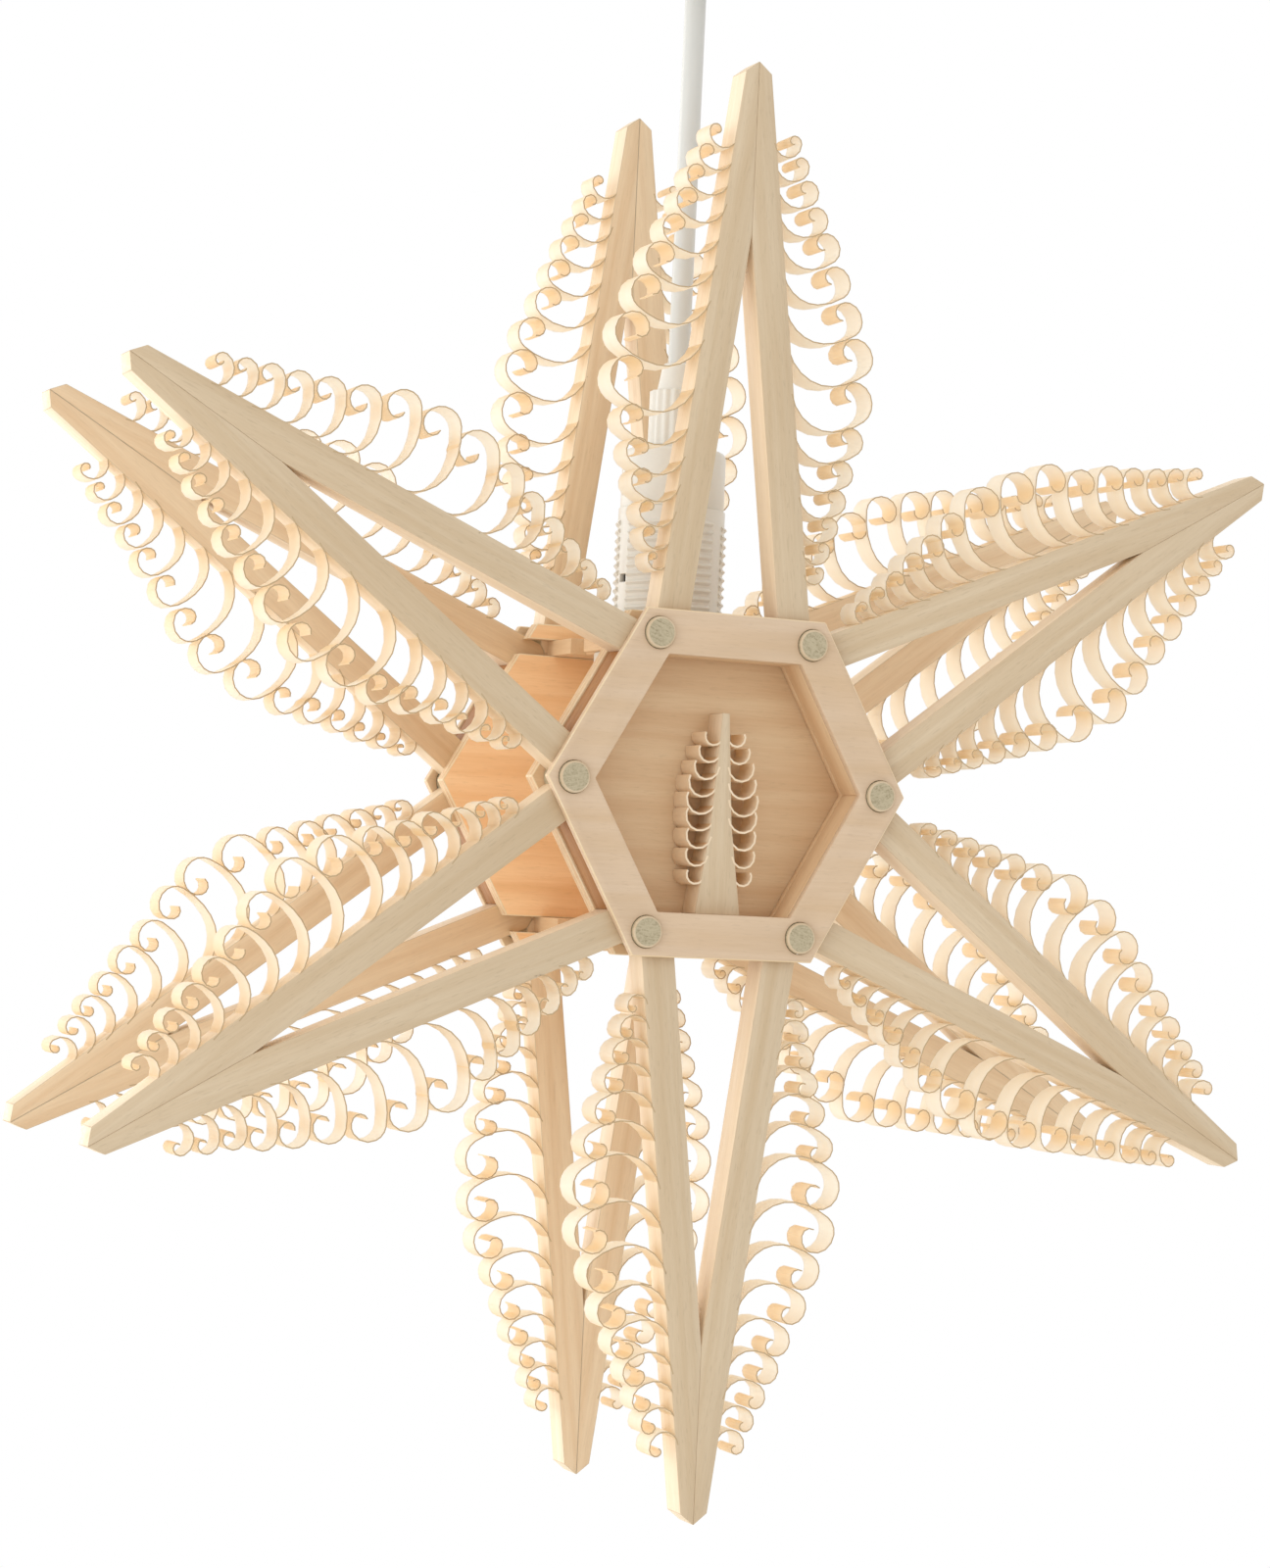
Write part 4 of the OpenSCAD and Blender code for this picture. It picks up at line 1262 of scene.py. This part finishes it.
    def execute(self, context):
        holder = context.scene.star_holder
        pieces = (
            ("threaded_sleeve", self.sleeve(holder), "socket_sleeve"),
            ("holder_cap", self.cap(), "socket_cap"),
            ("ribbed_grip", self.grip(holder), "cord_grip"),
            ("sleeve_nut_upper", self.nut("upper_ring_nut"), "upper_ring_nut"),
            ("sleeve_nut_lower", self.nut("lower_ring_nut"), "lower_ring_nut"),
        )
        for name, piece, node in pieces:
            show(name, piece, ("plastic",), node, "star")
        return {"FINISHED"}


class STAR_OT_bulb(bpy.types.Operator):
    """Blow the glass of the bulb"""

    bl_idname = "star.bulb"
    bl_label = "Bulb"

    def execute(self, context):
        low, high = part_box("bulb_glass")
        radius = high.x
        centre = low.z + radius
        neck_r = 5.45 * MM
        run = high.z - centre
        slant = math.atan2(run, neck_r) - math.acos(radius / math.hypot(neck_r, run))
        steps = 28
        angles = [-math.pi / 2 + (slant + math.pi / 2) * k / steps for k in range(steps + 1)]
        ball = [(radius * math.cos(a), centre + radius * math.sin(a)) for a in angles]
        bm = turned(ball + [(neck_r, high.z), (0, high.z)], segments=64)
        show("opal_bulb", bm, ("glass",), "bulb_glass", "bulb")
        return {"FINISHED"}


# Hanging

# The cord's route in millimetres, from the top of the cord grip up to the hanger
CORD_HEIGHTS = (-138, -130, -122, -114, -106, -98, -90, -82, -74, -66, -58, -50, -44, -38, -32)


class STAR_OT_cord(bpy.types.Operator):
    """Hang the lamp cord"""

    bl_idname = "star.cord"
    bl_label = "Cord"

    def execute(self, context):
        diameter = 2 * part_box("lamp_cord")[1].x
        curve = bpy.data.curves.new("hanging_cord", "CURVE")
        curve.dimensions = "3D"
        curve.bevel_depth = diameter / 2
        curve.bevel_resolution = 8
        curve.use_fill_caps = True
        spline = curve.splines.new("POLY")
        spline.points.add(len(CORD_HEIGHTS) - 1)
        for point, height in zip(spline.points, CORD_HEIGHTS):
            point.co = (0, 0, height * MM, 1)
        spline.use_smooth = True
        curve.materials.append(finish_of("sheath"))
        cord = add_object("hanging_cord", curve)
        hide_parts("lamp_cord")
        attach(cord, "star")
        return {"FINISHED"}


class STAR_OT_ceiling(bpy.types.Operator):
    """Build the ceiling cup and its screws"""

    bl_idname = "star.ceiling"
    bl_label = "Ceiling fitting"

    def cup(self, holder):
        """Turned cup with a hole in its floor."""
        low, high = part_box("ceiling_cup")
        inner = high.x - holder.cup_wall
        floor = low.z + holder.cup_wall
        profile = [
            (holder.cup_hole, low.z),
            (high.x, low.z),
            (high.x, high.z),
            (inner, high.z),
            (inner, floor),
            (holder.cup_hole, floor),
        ]
        bm = turned(profile, segments=72, closed=True)
        soften(bm, softness=0.8 * MM, segments=3)
        return bm

    def screws(self):
        """Two screws with domed heads and a slot across each."""
        low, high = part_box("cup_screws")
        head_r = high.y
        head_t = 1.6 * MM
        shank_l = 5 * MM
        slot_half = 0.4 * MM
        slot_depth = 0.7 * MM
        upright = 0.99
        place = Matrix.Translation((high.x - head_t, 0, (low.z + high.z) / 2))
        piece = bmesh.new()
        for hand in (1, -1):
            part = drum(head_r, 0, head_t, segments=40)
            soften(part, softness=0.5 * MM, segments=3)
            for y in (-slot_half, slot_half):
                everything = part.verts[:] + part.edges[:] + part.faces[:]
                bmesh.ops.bisect_plane(part, geom=everything, plane_co=(0, y, 0), plane_no=AXIS_Y)
            tops = [f for f in part.faces if f.normal.z > upright]
            extrude(part, [f for f in tops if abs(f.calc_center_median().y) < slot_half], -slot_depth)
            absorb(part, drum(head_r / 2, -shank_l, 0, segments=24))
            move(part, Matrix.Scale(hand, 4, AXIS_X) @ place @ Matrix.Rotation(math.pi / 2, 4, "Y"))
            absorb(piece, part)
        return piece

    def execute(self, context):
        holder = context.scene.star_holder
        show("canopy_cup", self.cup(holder), ("plastic",), "ceiling_cup", "ceiling")
        show("canopy_screws", self.screws(), ("steel",), "cup_screws", "ceiling")
        return {"FINISHED"}


# Nodes whose shape is right as it is, with the finish of each
KEPT_NODES = {
    "ceiling_plate": "plastic",
    "ceiling_hook": "steel",
    "terminal_block": "plastic",
    "hang_link": "steel",
    "cord_hanger": "steel",
    "contact_insert": "phenolic",
    "shell_contact": "brass",
    "centre_contact": "brass",
    "inner_leads": "sheath",
    "bulb_tip": "steel",
    "bulb_shell": "steel",
}


class STAR_OT_fittings(bpy.types.Operator):
    """Give the fittings that keep their own shape their finish"""

    bl_idname = "star.fittings"
    bl_label = "Fittings"

    def execute(self, context):
        for node, finish in KEPT_NODES.items():
            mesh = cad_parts[node].data
            mesh.materials.clear()
            mesh.materials.append(finish_of(finish))
        return {"FINISHED"}


# Stage

# Camera: its place in millimetres, where it looks, what is up for it, and its lens and sensor
CAMERA_PLACE = Vector((-348.93, -737.48, -275.55)) * MM
CAMERA_FORWARD = Vector((0.42063, 0.90641, 0.03866))
CAMERA_UP = Vector((-0.05854, -0.01541, 0.99817))
LENS = 74.81
SENSOR = 36

# Place and diameter of each soft lamp
LAMPS = {
    "side": (Vector((-1.4, -0.3, -0.1)), 1.2),
    "back": (Vector((-0.7, 1.1, -0.3)), 1.4),
}

FLOOR_R = 1.25


def look(position, forward, up):
    """Matrix of something that looks along a direction."""
    ahead = forward.normalized()
    right = ahead.cross(up).normalized()
    axes = Matrix((right, right.cross(ahead), -ahead)).transposed()
    return Matrix.Translation(position) @ axes.to_4x4()


class STAR_OT_stage(bpy.types.Operator):
    """Set the camera, the floor and the studio light"""

    bl_idname = "star.stage"
    bl_label = "Stage"

    def camera(self, scene):
        """Camera that sees the front half from its left."""
        data = bpy.data.cameras.new("camera")
        data.lens = LENS
        data.sensor_width = SENSOR
        scene.camera = add_object("camera", data)
        scene.camera.matrix_world = look(CAMERA_PLACE, CAMERA_FORWARD, CAMERA_UP)

    def lamps(self, light):
        """Soft round lamps that point at the star."""
        for name, (position, size) in LAMPS.items():
            data = bpy.data.lights.new(f"{name}_lamp", "AREA")
            data.shape = "DISK"
            data.size = size
            data.energy = getattr(light, name)
            lamp = add_object(f"{name}_lamp", data)
            lamp.matrix_world = look(position, Vector((0, 0, STAR_Z)) - position, AXIS_Z)

    def room(self, scene, strength):
        """White room: what the camera, gloss and glass see is white, and it lights the star more softly."""
        world = bpy.data.worlds.new("white_room")
        scene.world = world
        world.use_nodes = True
        tree = world.node_tree
        tree.nodes.clear()
        path = add_node(tree, "LightPath", {})
        seen = path.outputs["Is Camera Ray"]
        for ray in ("Is Glossy Ray", "Is Transmission Ray"):
            seen = add_node(tree, "Math", {0: seen, 1: path.outputs[ray]}, operation="MAXIMUM")
        level = add_node(tree, "MapRange", {"Value": seen, "To Min": strength})
        light = add_node(tree, "Background", {"Color": (1, 1, 1), "Strength": level})
        add_node(tree, "OutputWorld", {"Surface": light})

    def floor(self, drop, tint):
        """Pale round floor, well below the star, in matt paint that is a little uneven."""
        material, tree = new_material("painted_floor")
        noise = object_noise(tree, size=12)
        gloss = add_node(tree, "MapRange", {"Value": noise, "To Min": 0.75, "To Max": 0.85})
        surface = add_node(tree, "BsdfPrincipled", {"Base Color": tint, "Roughness": gloss})
        add_node(tree, "OutputMaterial", {"Surface": surface})
        bm = bmesh.new()
        bmesh.ops.create_circle(bm, cap_ends=True, segments=96, radius=FLOOR_R)
        move(bm, Matrix.Translation((0, 0, -drop)))
        mesh = mesh_from(bm, "floor")
        mesh.materials.append(material)
        floor = add_object("floor", mesh)

    def execute(self, context):
        scene = context.scene
        light = scene.star_light
        scene.view_settings.view_transform = "Standard"
        self.camera(scene)
        self.lamps(light)
        self.room(scene, light.room)
        self.floor(light.floor_drop, scene.star_colours.floor)
        return {"FINISHED"}


class STAR_PT_panel(bpy.types.Panel):
    """Sizes, colours and steps of the star"""

    bl_idname = "STAR_PT_panel"
    bl_label = "Star decoration"
    bl_space_type = "VIEW_3D"
    bl_region_type = "UI"
    bl_category = "Star"

    def draw(self, context):
        for group in PROPERTY_GROUPS:
            box = self.layout.box()
            settings = getattr(context.scene, group)
            for name in settings.bl_rna.properties.keys():
                if name not in ("rna_type", "name"):
                    box.prop(settings, name)
        for operator in OPERATORS:
            self.layout.operator(operator.bl_idname)


PROPERTY_GROUPS = {
    "star_sizes": StarSizes,
    "star_curls": CurlSizes,
    "star_trees": TreeSizes,
    "star_holder": HolderSizes,
    "star_colours": StarColours,
    "star_light": StageLight,
}
OPERATORS = (
    STAR_OT_stage,
    STAR_OT_cord,
    STAR_OT_bars,
    STAR_OT_trees,
    STAR_OT_hubs,
    STAR_OT_boards,
    STAR_OT_holder,
    STAR_OT_bulb,
    STAR_OT_ceiling,
    STAR_OT_fittings,
)
CLASSES = (*PROPERTY_GROUPS.values(), *OPERATORS, STAR_PT_panel)


def register():
    for cls in CLASSES:
        bpy.utils.register_class(cls)
    for name, group in PROPERTY_GROUPS.items():
        setattr(bpy.types.Scene, name, PointerProperty(type=group))


def unregister():
    for name in PROPERTY_GROUPS:
        delattr(bpy.types.Scene, name)
    for cls in reversed(CLASSES):
        bpy.utils.unregister_class(cls)


def main():
    """Build everything in order."""
    register()
    bpy.ops.star.stage()
    bpy.ops.star.cord()
    bpy.ops.star.bars()
    bpy.ops.star.trees()
    bpy.ops.star.hubs()
    bpy.ops.star.boards()
    bpy.ops.star.holder()
    bpy.ops.star.bulb()
    bpy.ops.star.ceiling()
    bpy.ops.star.fittings()


if __name__ == "__main__":
    main()
